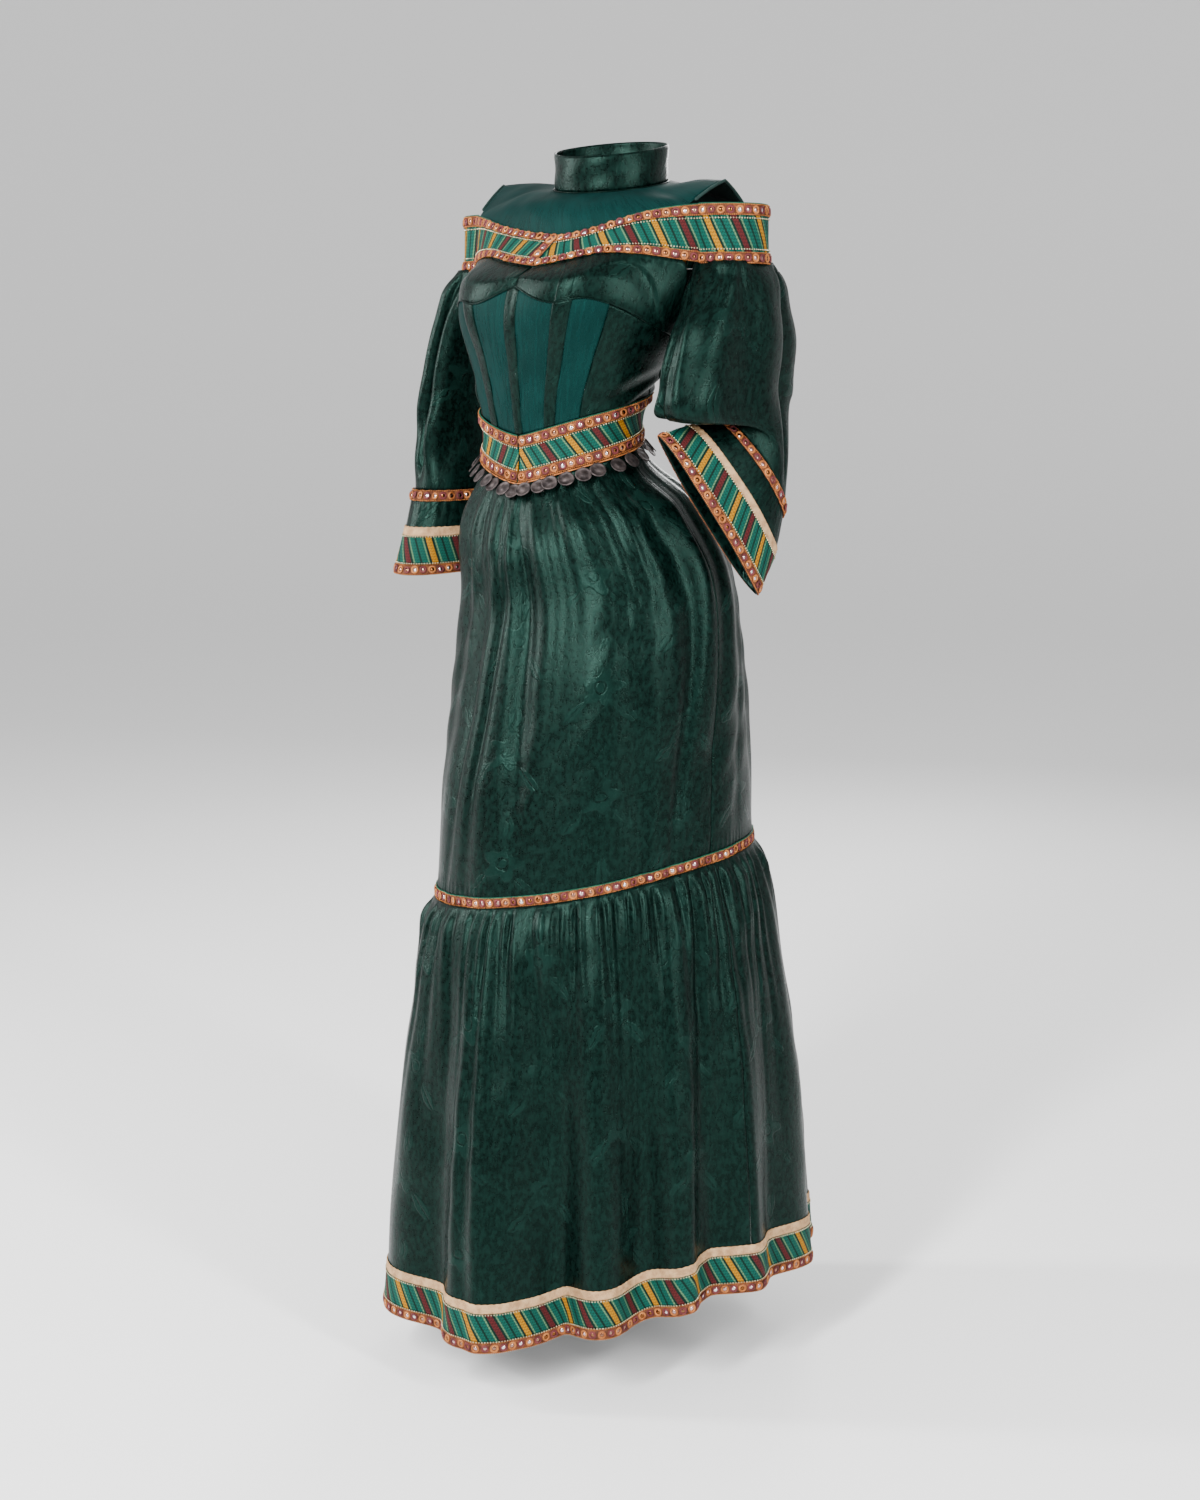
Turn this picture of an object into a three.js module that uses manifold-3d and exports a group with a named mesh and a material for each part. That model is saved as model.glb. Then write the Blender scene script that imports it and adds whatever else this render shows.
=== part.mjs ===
// Embroidered satin dress with a sheer yoke, an off-shoulder band, bell sleeves and a flounced hem.
// Millimetres. +Z is up, the wearer faces -Y and the wearer's left is +X.
// The origin is the middle of the shoulders, 1420 above the floor.
import * as THREE from 'three';
import { mergeVertices } from 'three/addons/utils/BufferGeometryUtils.js';
import Module from 'manifold-3d';

const wasm = await Module();
wasm.setup();

// Cloth sizes
const WALL = 1.4;
const SHEER_WALL = 1.1;
const TRIM_WALL = 1.3;
const PLY_GAP = 0.3;
const SEAM_GAP = 0.3;
const MIRROR_TAPE = 12.5;
const BRAID = 11;
const RIBBON = 33;

// Colours, roughness and metalness of each kind of cloth or metal
const FINISH = {
  satin: { color: 0x1d4a3c, roughness: 0.42, metalness: 0.0 },
  mesh: { color: 0x14504a, roughness: 0.8, metalness: 0.0 },
  binding: { color: 0x0d1f1c, roughness: 0.7, metalness: 0.0 },
  ribbon: { color: 0x177a62, roughness: 0.85, metalness: 0.0 },
  mirrorTape: { color: 0xb8754a, roughness: 0.5, metalness: 0.2 },
  braid: { color: 0xcbaa82, roughness: 0.8, metalness: 0.0 },
  coin: { color: 0x6a5c5b, roughness: 0.4, metalness: 0.8 },
};

// Collar
const COLLAR_RADIUS = 68;
const COLLAR_HEIGHT = 42;
const COLLAR_BASE = 18;
const COLLAR_TILT = 14;
const COLLAR_LOW_AT = 15;

// Shoulder points, where the armhole bindings start and end
const SHOULDER_LEFT = { x: 163, y: 3, z: 15 };
const SHOULDER_RIGHT = { x: -171, y: 3, z: 25 };
const YOKE_FOOT_X = 158;
const YOKE_SEAT = 0.5;
const YOKE_PUFF = { middleRise: 9, middleOut: 14, shoulderRise: 2, shoulderOut: 3 };
const BINDING_RADIUS = 2;
const BINDING_SHARE = 0.22;
const BINDING_START = 0.14;
const BINDING_GAP = 0.45;

// Off-shoulder band, its plan across the front and back and round the arms
const BAND = { armX: 167, armRadius: 50, chestTop: 75, chestBottom: 101, back: 42 };
const BAND_FRONT_END = 0.42;
const BAND_ARM_END = 0.62;
const BAND_BACK_BLEND = 0.15;
const BAND_ARM_KEY = 200;
const BAND_FLARE = 0.012;
const BAND_CROSS_TOP = 22;
const BAND_CROSS_BOTTOM = 2;
const BAND_TUCK = 0.006;

// Heights of the band's edges by distance from the centre front: distance, top, bottom
const BAND_FRONT_EDGES = [
  [0, -50, -85],
  [40, -45, -79],
  [80, -36, -71],
  [120, -24, -72],
  [165, -16, -80],
  [200, -15, -82],
];
const BAND_BACK_EDGES = { top: -14, bottom: -80 };
const BAND_SEAT = 0.2;
const BAND_FOOT_CENTRE = { x: -1, y: -38 };
const FRONT_SEWN_TO = 79;
const BACK_SEWN_FROM = 142;

// Torso sections: height, centre x, centre y, half width, front half depth, back half depth
const TORSO = [
  [-400, -14, -52, 150, 128, 128],
  [-340, -24, -61, 114, 88, 90],
  [-290, -25, -65, 104, 80, 82],
  [-250, -25, -66, 108, 84, 84],
  [-200, -18, -62, 126, 102, 97],
  [-150, -10, -56, 147, 122, 112],
  [-107, -5, -46, 148, 125, 116],
  [-70, -1, -36, 147, 116, 122],
  [-30, 0, -30, 145, 108, 120],
];
const CUP = { angle: 33, height: -102, reach: 17, angleSpread: 19, heightSpread: 34 };

// Edges round the torso by angle from the centre front: angle, height
const ARMHOLE_EDGE = [
  [0, -86], [15, -80], [30, -73], [48, -71], [60, -79], [76, -124],
  [92, -144], [108, -128], [122, -94], [136, -82], [180, -81],
];
const UNDER_BUST_EDGE = [
  [0, -107], [22, -126], [40, -122], [58, -134], [80, -156], [105, -170], [180, -175],
];
const BELT_RISE = 52;
const BELT_RISE_ANGLE = 115;
const BELT_TOP = -281;
const BELT_HEIGHT = 54;
const BELT_WALL = 2.4;
const BELT_SLIT_ANGLE = 0.7;
const BELT_CLEARANCE = 1.6;

// Panel edges round the torso, in degrees from the centre front
const STRIP_HALF = 4;
const STRIP_IN = 25.5;
const STRIP_OUT = 34.5;
const MESH_EDGE = 52;
const SIDE_SEAM = 105;
const TORSO_ANGLES = [0, 4, 15, 25.5, 34.5, 43, 52, 65, 78, 91, 105, 124, 143, 161, 180];

// Coins under the belt
const COIN = { count: 34, radius: 9, wall: 1.2, drop: 12, out: 3.4, lean: 40, arcSegments: 3, neck: 1.6 };
const COIN_STRIP = { start: 0.75, drop: 3 };
const COIN_TILT = { reach: 0.14, step: 2.4 };

// Upper skirt sections: share of the way down, centre x, centre y, long half axis, short half axis, turn
const SKIRT = [
  [0, -24, -62, 112, 86, -90],
  [0.06, -22, -58, 130, 103, -90],
  [0.15, -12, -48, 154, 130, -90],
  [0.3, 0, -30, 174, 152, -90],
  [0.5, 4, -30, 184, 172, -90],
  [0.75, 6, -36, 194, 172, -36],
  [1, 8, -42, 200, 168, -36],
];
const SKIRT_COLUMNS = 72;
const SKIRT_GATHERS = 18;
const SKIRT_GATHER_DEPTH = 7;
const SKIRT_GATHER_FADE = 3.2;
const SKIRT_UNEVEN = 0.12;
const SKIRT_FOLDS = 7;
const SKIRT_FOLD_DEPTH = 5;

// Seam between the skirt and the flounce
const KNEE_LOW = -850;
const KNEE_RISE = 66;
const KNEE_LOW_AT = -55;

// Flounce sections: the same columns as the skirt's
const FLOUNCE = [
  [0, 8, -42, 202, 170, -36],
  [0.06, 10, -43, 220, 186, -36],
  [0.3, 24, -52, 246, 206, -36],
  [0.65, 38, -62, 272, 222, -36],
  [1, 48, -70, 288, 230, -36],
];
const FLOUNCE_COLUMNS = 84;
const FLOUNCE_GATHERS = 21;
const FLOUNCE_GATHER_DEPTH = 8;
const FLOUNCE_GATHER_FADE = 3.6;
const FLOUNCE_UNEVEN = 0.08;
const HEM_LOW = -1350;

// Height of the hem by angle from the centre front: it hangs lowest over the stepping leg
const HEM = [
  [-180, -1322],
  [-110, -1330],
  [-60, -1342],
  [-20, -1350],
  [14, -1350],
  [30, -1334],
  [50, -1328],
  [66, -1310],
  [100, -1304],
  [140, -1312],
  [180, -1322],
];

// Valleys between the flounce's deep folds: angle from the centre front, depth at the hem, angular width
const FLOUNCE_VALLEYS = [
  [-112, 26, 8],
  [-82, 24, 7],
  [-52, 26, 8],
  [-18, 30, 7],
  [20, 62, 8],
  [51, 54, 8],
  [78, 46, 7],
  [103, 34, 8],
  [130, 32, 8],
  [157, 34, 8],
  [186, 32, 8],
  [216, 32, 8],
];

// Sleeve rings: share, centre x y z, vector to the outer side, vector to the front
const NEAR_SLEEVE = [
  [0, 181, 0, -82.5, 35.5, 0, 0, 0, -50, 0],
  [0.12, 186, -2, -114, 42, 0, 4, 0, -72, 0],
  [0.35, 190, -10, -166, 46, 0, 4, 0, -102, 2],
  [0.58, 182, -14, -222, 49, 0, 3, 0, -108, 2],
  [0.75, 181, -14, -253, 49, -2, -6, -6, -98, -8],
  [0.9, 194.5, 20, -284, 39, -10, -2, -16.5, -33, 42.5],
  [1, 199.6, 15.8, -312.5, 31, -14, 0, -22.7, -28.6, 51.6],
];
const NEAR_BELL = [
  [0, 199.4, 14.7, -313.5, 31, -14, 0, -22.8, -29.2, 51],
  [0.5, 194, -15, -342, 29, -18, 0, -29, -42, 74],
  [1, 184, -52, -373, 26, -23, 0, -33, -52, 93],
];
const FAR_SLEEVE = [
  [0, -188, 0, -83.2, -29, 0, 0, 0, -50, 0],
  [0.12, -204, 4, -114, -38, 0, 4, 0, -68, 0],
  [0.35, -224, 12, -172, -45, 0, 4, 0, -82, 0],
  [0.65, -238, 12, -254, -50, 0, 4, 0, -84, 0],
  [1, -242, 4, -352, -48, 0, 0, 0, -82, -3],
];
const FAR_BELL = [
  [0, -242, 4, -352, -49.8, 0, 0, 0, -83.8, -3],
  [0.5, -245, -3, -405, -53, 0, 0, 0, -90, -5],
  [1, -248, -12, -454, -56, 0, 0, 0, -96, -8],
];
const SLEEVE_COLUMNS = 20;
const SLEEVE_FOLDS = 5;
const SLEEVE_FOLD_DEPTH = 7;
const ARMPIT_DIP = 60;
const ARMPIT_POWER = 4;
const BELL_ROWS = { near: [0, 0.125, 0.47, 0.57, 0.88, 1], far: [0, 0.125, 0.42, 0.53, 0.87, 1] };

const RADIANS = Math.PI / 180;

function clamp(value, low, high) {
  return Math.min(Math.max(value, low), high);
}

function mix(a, b, t) {
  return a + (b - a) * t;
}

function smooth(t) {
  const s = clamp(t, 0, 1);
  return s * s * (3 - 2 * s);
}

// Smooth curve through the rows of a table whose first column is the key
function rowAt(rows, key) {
  const last = rows.length - 1;
  let i = 0;
  while (i < last - 1 && key > rows[i + 1][0]) i += 1;
  const before = rows[Math.max(i - 1, 0)];
  const from = rows[i];
  const to = rows[i + 1];
  const after = rows[Math.min(i + 2, last)];
  const span = to[0] - from[0];
  const t = clamp((key - from[0]) / span, 0, 1);
  const t2 = t * t;
  const t3 = t2 * t;
  return from.map((value, k) => {
    const slopeFrom = ((to[k] - before[k]) / (to[0] - before[0])) * span;
    const slopeTo = ((after[k] - from[k]) / (after[0] - from[0])) * span;
    const start = (2 * t3 - 3 * t2 + 1) * value + (t3 - 2 * t2 + t) * slopeFrom;
    return start + (3 * t2 - 2 * t3) * to[k] + (t3 - t2) * slopeTo;
  });
}

// Angle in degrees brought to -180 to 180
function wrapAngle(angle) {
  return ((((angle + 180) % 360) + 360) % 360) - 180;
}

// Radius of an ellipse whose long half axis points along the angle named turn
function ellipseRadius(angle, long, short, turn) {
  const local = (angle - turn) * RADIANS;
  return 1 / Math.hypot(Math.cos(local) / long, Math.sin(local) / short);
}

// Point at an angle from the centre front and a radius about a centre
function around(cx, cy, radius, angle, z) {
  const a = angle * RADIANS;
  return new THREE.Vector3(cx + radius * Math.sin(a), cy - radius * Math.cos(a), z);
}

// Edge curves round the body
function edgeHeight(table, angle) {
  return rowAt(table, Math.abs(wrapAngle(angle)))[1];
}

function beltRise(angle) {
  const share = clamp(Math.abs(wrapAngle(angle)) / BELT_RISE_ANGLE, 0, 1);
  return BELT_RISE * (share ** 1.35) * (1.25 - 0.25 * share);
}

function beltTop(angle) {
  return BELT_TOP + beltRise(angle);
}

function beltBottom(angle) {
  return beltTop(angle) - BELT_HEIGHT;
}

function kneeHeight(angle) {
  return KNEE_LOW + KNEE_RISE * (0.5 - 0.5 * Math.cos((angle - KNEE_LOW_AT) * RADIANS));
}

function hemHeight(angle) {
  return rowAt(HEM, wrapAngle(angle))[1];
}

// Torso surface with two soft cups
function torsoPoint(angle, z) {
  const [, cx, cy, half, front, back] = rowAt(TORSO, z);
  const depth = Math.abs(wrapAngle(angle)) < 90 ? front : back;
  const offAngle = (Math.abs(wrapAngle(angle)) - CUP.angle) / CUP.angleSpread;
  const offHeight = (z - CUP.height) / CUP.heightSpread;
  const cup = CUP.reach * Math.exp(-0.5 * (offAngle * offAngle + offHeight * offHeight));
  return around(cx, cy, ellipseRadius(angle, half, depth, 90) + cup, angle, z);
}

// Upper skirt: gathers fade into broad folds on the way down
function skirtPoint(angle, share) {
  const [, cx, cy] = rowAt(SKIRT, share);
  const rows = SKIRT.map(([key, , , long, short, turn]) => [key, ellipseRadius(angle, long, short, turn)]);
  const fullness = smooth(share / 0.06);
  const gather = SKIRT_GATHER_DEPTH * fullness * Math.exp(-share * SKIRT_GATHER_FADE);
  const fold = SKIRT_FOLD_DEPTH * smooth(share * 2) * (1 - 0.6 * smooth((share - 0.7) / 0.3));
  const phase = angle * RADIANS;
  const uneven = phase + SKIRT_UNEVEN * Math.sin(3 * phase + 0.7);
  const inward = gather * (0.5 - 0.5 * Math.cos(SKIRT_GATHERS * uneven))
    + fold * (0.5 - 0.5 * Math.cos(SKIRT_FOLDS * uneven + 1.1));
  const z = mix(beltBottom(angle) - BELT_CLEARANCE, kneeHeight(angle), share);
  const point = around(cx, cy, rowAt(rows, share)[1] - inward, angle, z);
  return torsoPoint(angle, z).lerp(point, smooth(share / 0.13));
}

// Flounce: fine gathers at the seam, named deep folds towards the hem
function flouncePoint(angle, share) {
  const [, cx, cy] = rowAt(FLOUNCE, share);
  const rows = FLOUNCE.map(([key, , , long, short, turn]) => [key, ellipseRadius(angle, long, short, turn)]);
  const phase = angle * RADIANS;
  const uneven = phase + FLOUNCE_UNEVEN * Math.sin(4 * phase + 2.1);
  const gather = FLOUNCE_GATHER_DEPTH * smooth(share / 0.06) * Math.exp(-share * FLOUNCE_GATHER_FADE);
  let out = gather * (0.5 * Math.cos(FLOUNCE_GATHERS * uneven) - 0.5);
  const grown = 0.35 * smooth(share / 0.3) + 0.65 * smooth(share);
  for (const [centre, valley, width] of FLOUNCE_VALLEYS) {
    const off = wrapAngle(angle - centre) / width;
    out -= valley * grown * Math.exp(-0.5 * off * off);
  }
  const z = mix(kneeHeight(angle), hemHeight(angle), share);
  return around(cx, cy, rowAt(rows, share)[1] + out, angle, z);
}

// Sleeve rings: phi is 0 at the outer side and 90 at the front, side is 1 on the wearer's left
function sleevePoint(rings, phi, share, isUpper) {
  const [, cx, cy, cz, ux, uy, uz, vx, vy, vz] = rowAt(rings, share);
  const a = phi * RADIANS;
  const power = isUpper ? mix(0.6, 1, smooth(share / 0.25)) : 1;
  const c = Math.sign(Math.cos(a)) * Math.abs(Math.cos(a)) ** power;
  const s = Math.sign(Math.sin(a)) * Math.abs(Math.sin(a)) ** power;
  const depth = isUpper ? SLEEVE_FOLD_DEPTH * Math.sin(Math.PI * clamp(share, 0, 1)) ** 0.7 : 0;
  const fold = 1 - (depth / 75) * (0.5 - 0.5 * Math.cos(SLEEVE_FOLDS * a + 2 * Math.sin(a) + share));
  const inner = Math.max(0, -Math.cos(a)) ** ARMPIT_POWER;
  const dip = isUpper ? ARMPIT_DIP * inner * (1 - smooth(share / 0.4)) : 0;
  return new THREE.Vector3(
    cx + (ux * c + vx * s) * fold,
    cy + (uy * c + vy * s) * fold,
    cz + uz * c + vz * s - dip,
  );
}

// Plan of the off-shoulder band: half of it, from the centre front round one arm to the centre back
function bandPlan(share, chest) {
  if (share < BAND_FRONT_END) {
    const x = BAND.armX * (share / BAND_FRONT_END);
    const swell = Math.max(Math.cos((Math.PI * x) / (2 * BAND.armX)), 0) ** 0.8;
    return { x, y: -(BAND.armRadius + chest * swell), front: x };
  }
  if (share < BAND_ARM_END) {
    const turn = Math.PI * ((share - BAND_FRONT_END) / (BAND_ARM_END - BAND_FRONT_END));
    const reach = BAND.armX + BAND.armRadius * Math.sin(turn);
    return { x: reach, y: -BAND.armRadius * Math.cos(turn), front: BAND_ARM_KEY };
  }
  const x = BAND.armX * (1 - (share - BAND_ARM_END) / (1 - BAND_ARM_END));
  const swell = Math.max(Math.cos((Math.PI * x) / (2 * BAND.armX)), 0) ** 0.8;
  return { x, y: BAND.armRadius + BAND.back * swell, front: 0, isBack: true };
}

// Band surface: across runs from 0 at the top edge to 1 at the bottom edge
function bandPoint(side, share, across) {
  const slant = mix(BAND_CROSS_TOP, BAND_CROSS_BOTTOM, across) * (1 - smooth(share / 0.3));
  const top = bandPlan(share, BAND.chestTop);
  const bottom = bandPlan(share, BAND.chestBottom);
  const backEdges = [0, BAND_BACK_EDGES.top, BAND_BACK_EDGES.bottom];
  const edges = top.isBack ? backEdges : rowAt(BAND_FRONT_EDGES, top.front);
  const blend = top.isBack ? 1 - smooth((share - BAND_ARM_END) / BAND_BACK_BLEND) : 0;
  const arm = rowAt(BAND_FRONT_EDGES, BAND_ARM_KEY);
  const zTop = mix(edges[1], arm[1], blend);
  const zBottom = mix(edges[2], arm[2], blend);
  const x = side * mix(top.x, bottom.x, across) + slant;
  const flare = 1 + BAND_FLARE * across;
  return new THREE.Vector3(x * flare, mix(top.y, bottom.y, across), mix(zTop, zBottom, across));
}

// Point of the band's lower edge seen in a direction from the middle of the chest
function bandFoot(angle) {
  const local = wrapAngle(angle);
  const side = local < 0 ? -1 : 1;
  let low = 0;
  let high = 1;
  for (let i = 0; i < 24; i += 1) {
    const middle = (low + high) / 2;
    const point = bandPoint(side, middle, 1);
    const across = side * (point.x - BAND_FOOT_CENTRE.x);
    const direction = Math.atan2(across, BAND_FOOT_CENTRE.y - point.y) / RADIANS;
    if (direction < Math.abs(local)) low = middle;
    else high = middle;
  }
  const foot = bandPoint(side, low, 1);
  foot.z -= BAND_SEAT;
  return foot;
}

function collarBase(angle) {
  return COLLAR_BASE - COLLAR_TILT * Math.cos((angle - COLLAR_LOW_AT) * RADIANS);
}

// Yoke half: side is -1 at the front and 1 at the back, across runs from the collar to the outer edge
function yokePoint(side, q, across) {
  const angle = side < 0 ? 90 * q : 180 - 90 * q;
  const inner = around(0, 0, COLLAR_RADIUS, angle, collarBase(angle) - 1.5);
  const outer = yokeEdge(side, q);
  const rise = 4 * across * (1 - across);
  const point = inner.lerp(outer, across);
  const shoulderShare = Math.abs(q) ** 2;
  point.z += rise * mix(YOKE_PUFF.middleRise, YOKE_PUFF.shoulderRise, shoulderShare);
  point.y += side * rise * mix(YOKE_PUFF.middleOut, YOKE_PUFF.shoulderOut, shoulderShare);
  return point;
}

function yokeEdge(side, q) {
  const share = Math.abs(q);
  const sign = Math.sign(q) || 1;
  const bandShare = 1 - BINDING_SHARE;
  if (share <= bandShare) return bandTopInside(side, sign * YOKE_FOOT_X * (share / bandShare));
  const t = (share - bandShare) / BINDING_SHARE;
  const foot = bandTopInside(side, sign * YOKE_FOOT_X);
  const shoulder = sign > 0 ? SHOULDER_LEFT : SHOULDER_RIGHT;
  const top = new THREE.Vector3(shoulder.x, shoulder.y, shoulder.z);
  const point = foot.lerp(top, t);
  point.z += 10 * t * (1 - t);
  return point;
}

// Point just inside the band's top edge at a distance x from the middle
function bandTopInside(side, x) {
  const reach = Math.abs(x) / BAND.armX;
  const share = side < 0 ? BAND_FRONT_END * reach : 1 - (1 - BAND_ARM_END) * reach;
  const edge = bandPoint(Math.sign(x) || 1, share, 0);
  return new THREE.Vector3(edge.x, edge.y - side * YOKE_SEAT, edge.z + YOKE_SEAT);
}

// Grid of points over a surface, with normals that point away from the wearer
function makeGrid(surface, us, vs, options = {}) {
  const { wraps = false, flip = false, level = false } = options;
  const points = us.map((u) => vs.map((v) => surface(u, v)));
  const lastU = us.length - 1;
  const lastV = vs.length - 1;
  const normals = points.map((column, i) => column.map((point, j) => {
    const prevU = wraps ? (i + us.length - 1) % us.length : Math.max(i - 1, 0);
    const nextU = wraps ? (i + 1) % us.length : Math.min(i + 1, lastU);
    const alongU = points[nextU][j].clone().sub(points[prevU][j]);
    const alongV = points[i][Math.min(j + 1, lastV)].clone().sub(points[i][Math.max(j - 1, 0)]);
    const normal = flip ? alongU.cross(alongV) : alongV.cross(alongU);
    if (level) normal.z = 0;
    return normal.normalize();
  }));
  return { points, normals, wraps, flip };
}

// Closed wall over the cells of a grid between two columns and two rows, from one ply height to another
function makeWall(grid, area, from, to) {
  const { points, normals, flip } = grid;
  const { c0, c1, r0, r1 } = area;
  const isRing = area.isRing === true;
  const total = points.length;
  const columns = [];
  for (let c = c0; c <= c1; c += 1) columns.push(((c % total) + total) % total);
  if (isRing) columns.pop();
  const pull = SEAM_GAP / 2;
  const at = (ci, r, lift) => {
    const c = columns[ci];
    const point = points[c][r].clone().addScaledVector(normals[c][r], lift);
    const towards = (otherC, otherR) => {
      const other = points[otherC][otherR].clone().addScaledVector(normals[otherC][otherR], lift);
      return other.sub(point).normalize().multiplyScalar(pull);
    };
    const move = new THREE.Vector3();
    if (r === r0) move.add(towards(c, r + 1));
    if (r === r1) move.add(towards(c, r - 1));
    if (!isRing && ci === 0) move.add(towards(columns[1], r));
    if (!isRing && ci === columns.length - 1) move.add(towards(columns[ci - 1], r));
    return point.add(move);
  };
  const positions = [];
  const index = [];
  const rows = r1 - r0 + 1;
  for (let ci = 0; ci < columns.length; ci += 1) {
    for (let r = r0; r <= r1; r += 1) {
      positions.push(...at(ci, r, to).toArray(), ...at(ci, r, from).toArray());
    }
  }
  const vertex = (ci, r, isInner) => 2 * ((ci % columns.length) * rows + r) + (isInner ? 1 : 0);
  const quad = (a, b, c, d) => {
    if (flip) index.push(a, c, b, a, d, c);
    else index.push(a, b, c, a, c, d);
  };
  const spans = isRing ? columns.length : columns.length - 1;
  for (let ci = 0; ci < spans; ci += 1) {
    for (let r = 0; r < rows - 1; r += 1) {
      const outer = [vertex(ci, r, false), vertex(ci, r + 1, false), vertex(ci + 1, r + 1, false)];
      quad(...outer, vertex(ci + 1, r, false));
      const inner = [vertex(ci, r, true), vertex(ci + 1, r, true), vertex(ci + 1, r + 1, true)];
      quad(...inner, vertex(ci, r + 1, true));
    }
    const low = rows - 1;
    quad(vertex(ci, 0, true), vertex(ci, 0, false), vertex(ci + 1, 0, false), vertex(ci + 1, 0, true));
    const hem = [vertex(ci, low, false), vertex(ci, low, true), vertex(ci + 1, low, true)];
    quad(...hem, vertex(ci + 1, low, false));
  }
  if (!isRing) {
    const end = columns.length - 1;
    for (let r = 0; r < rows - 1; r += 1) {
      quad(vertex(0, r, true), vertex(0, r + 1, true), vertex(0, r + 1, false), vertex(0, r, false));
      quad(vertex(end, r, false), vertex(end, r + 1, false), vertex(end, r + 1, true), vertex(end, r, true));
    }
  }
  const geometry = new THREE.BufferGeometry();
  geometry.setAttribute('position', new THREE.Float32BufferAttribute(positions, 3));
  geometry.setIndex(index);
  return geometry;
}

const dress = new THREE.Group();

function addPiece(name, kind, geometry) {
  const shaded = geometry.index ? geometry.toNonIndexed() : geometry;
  shaded.computeVertexNormals();
  const mesh = new THREE.Mesh(shaded, new THREE.MeshStandardMaterial(FINISH[kind]));
  mesh.name = name;
  dress.add(mesh);
}

function addWall(name, kind, grid, area, from, to) {
  addPiece(name, kind, makeWall(grid, area, from, to));
}

function evenAngles(count, start = -180) {
  return [...Array(count).keys()].map((i) => start + (360 * i) / count);
}

function range(count) {
  return [...Array(count + 1).keys()].map((i) => i / count);
}

function buildCollar() {
  const surface = (angle, share) => {
    const lean = 1 - 0.02 * share;
    return around(0, 0, COLLAR_RADIUS * lean, angle, collarBase(angle) + COLLAR_HEIGHT * (1 - share));
  };
  const count = 28;
  const grid = makeGrid(surface, evenAngles(count), [0, 1], { wraps: true, level: true });
  addWall('collar', 'satin', grid, { c0: 0, c1: count, r0: 0, r1: 1, isRing: true }, 0, WALL + 0.4);
}

function buildYoke() {
  const columns = 16;
  const qs = range(columns).map((t) => 2 * t - 1);
  const acrosses = [0, 0.3, 0.65, 1];
  for (const [name, side] of [['yoke_front', -1], ['yoke_back', 1]]) {
    const grid = makeGrid((q, t) => yokePoint(side, q, t), qs, acrosses);
    addWall(name, 'mesh', grid, { c0: 0, c1: columns, r0: 0, r1: 3 }, 0, SHEER_WALL);
  }
}

function buildBindings() {
  const steps = 6;
  for (const [name, sign] of [['armhole_binding_left', 1], ['armhole_binding_right', -1]]) {
    const path = [];
    for (const side of [-1, 1]) {
      for (let i = 0; i <= steps; i += 1) {
        const up = mix(BINDING_START, 1, i / steps);
        const t = side < 0 ? up : 1 + BINDING_START - up;
        if (side > 0 && i === 0) continue;
        const q = sign * (1 - BINDING_SHARE * (1 - t));
        const point = yokeEdge(side, q);
        point.x += sign * (BINDING_RADIUS + BINDING_GAP);
        path.push(point);
      }
    }
    const section = new THREE.Shape();
    section.absarc(0, 0, BINDING_RADIUS, 0, 2 * Math.PI);
    const curve = new THREE.CatmullRomCurve3(path);
    const geometry = new THREE.ExtrudeGeometry(section, { steps: 10, curveSegments: 3, extrudePath: curve });
    addPiece(name, 'binding', geometry);
  }
}

function buildBand() {
  const across = [0, 0.22, 0.78, 1];
  const shares = [0, 0.04, 0.08, 0.13, 0.18, 0.23, 0.28, 0.33, 0.38, 0.42, 0.455, 0.49, 0.52,
    0.55, 0.585, 0.62, 0.68, 0.76, 0.84, 0.92, 1];
  for (const [name, sign] of [['left', 1], ['right', -1]]) {
    const starts = [sign > 0 ? BAND_TUCK : 0, ...shares.slice(1)];
    const grid = makeGrid((s, w) => bandPoint(sign, s, w), starts, across, { flip: sign < 0 });
    const end = shares.length - 1;
    const ply = WALL + PLY_GAP;
    const long = { c0: 0, c1: end };
    addWall(`band_ribbon_${name}`, 'ribbon', grid, { ...long, r0: 0, r1: 3 }, 0, WALL);
    addWall(`band_tape_top_${name}`, 'mirrorTape', grid, { ...long, r0: 0, r1: 1 }, ply, ply + TRIM_WALL);
    addWall(`band_tape_low_${name}`, 'mirrorTape', grid, { ...long, r0: 2, r1: 3 }, ply, ply + TRIM_WALL);
  }
}

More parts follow.
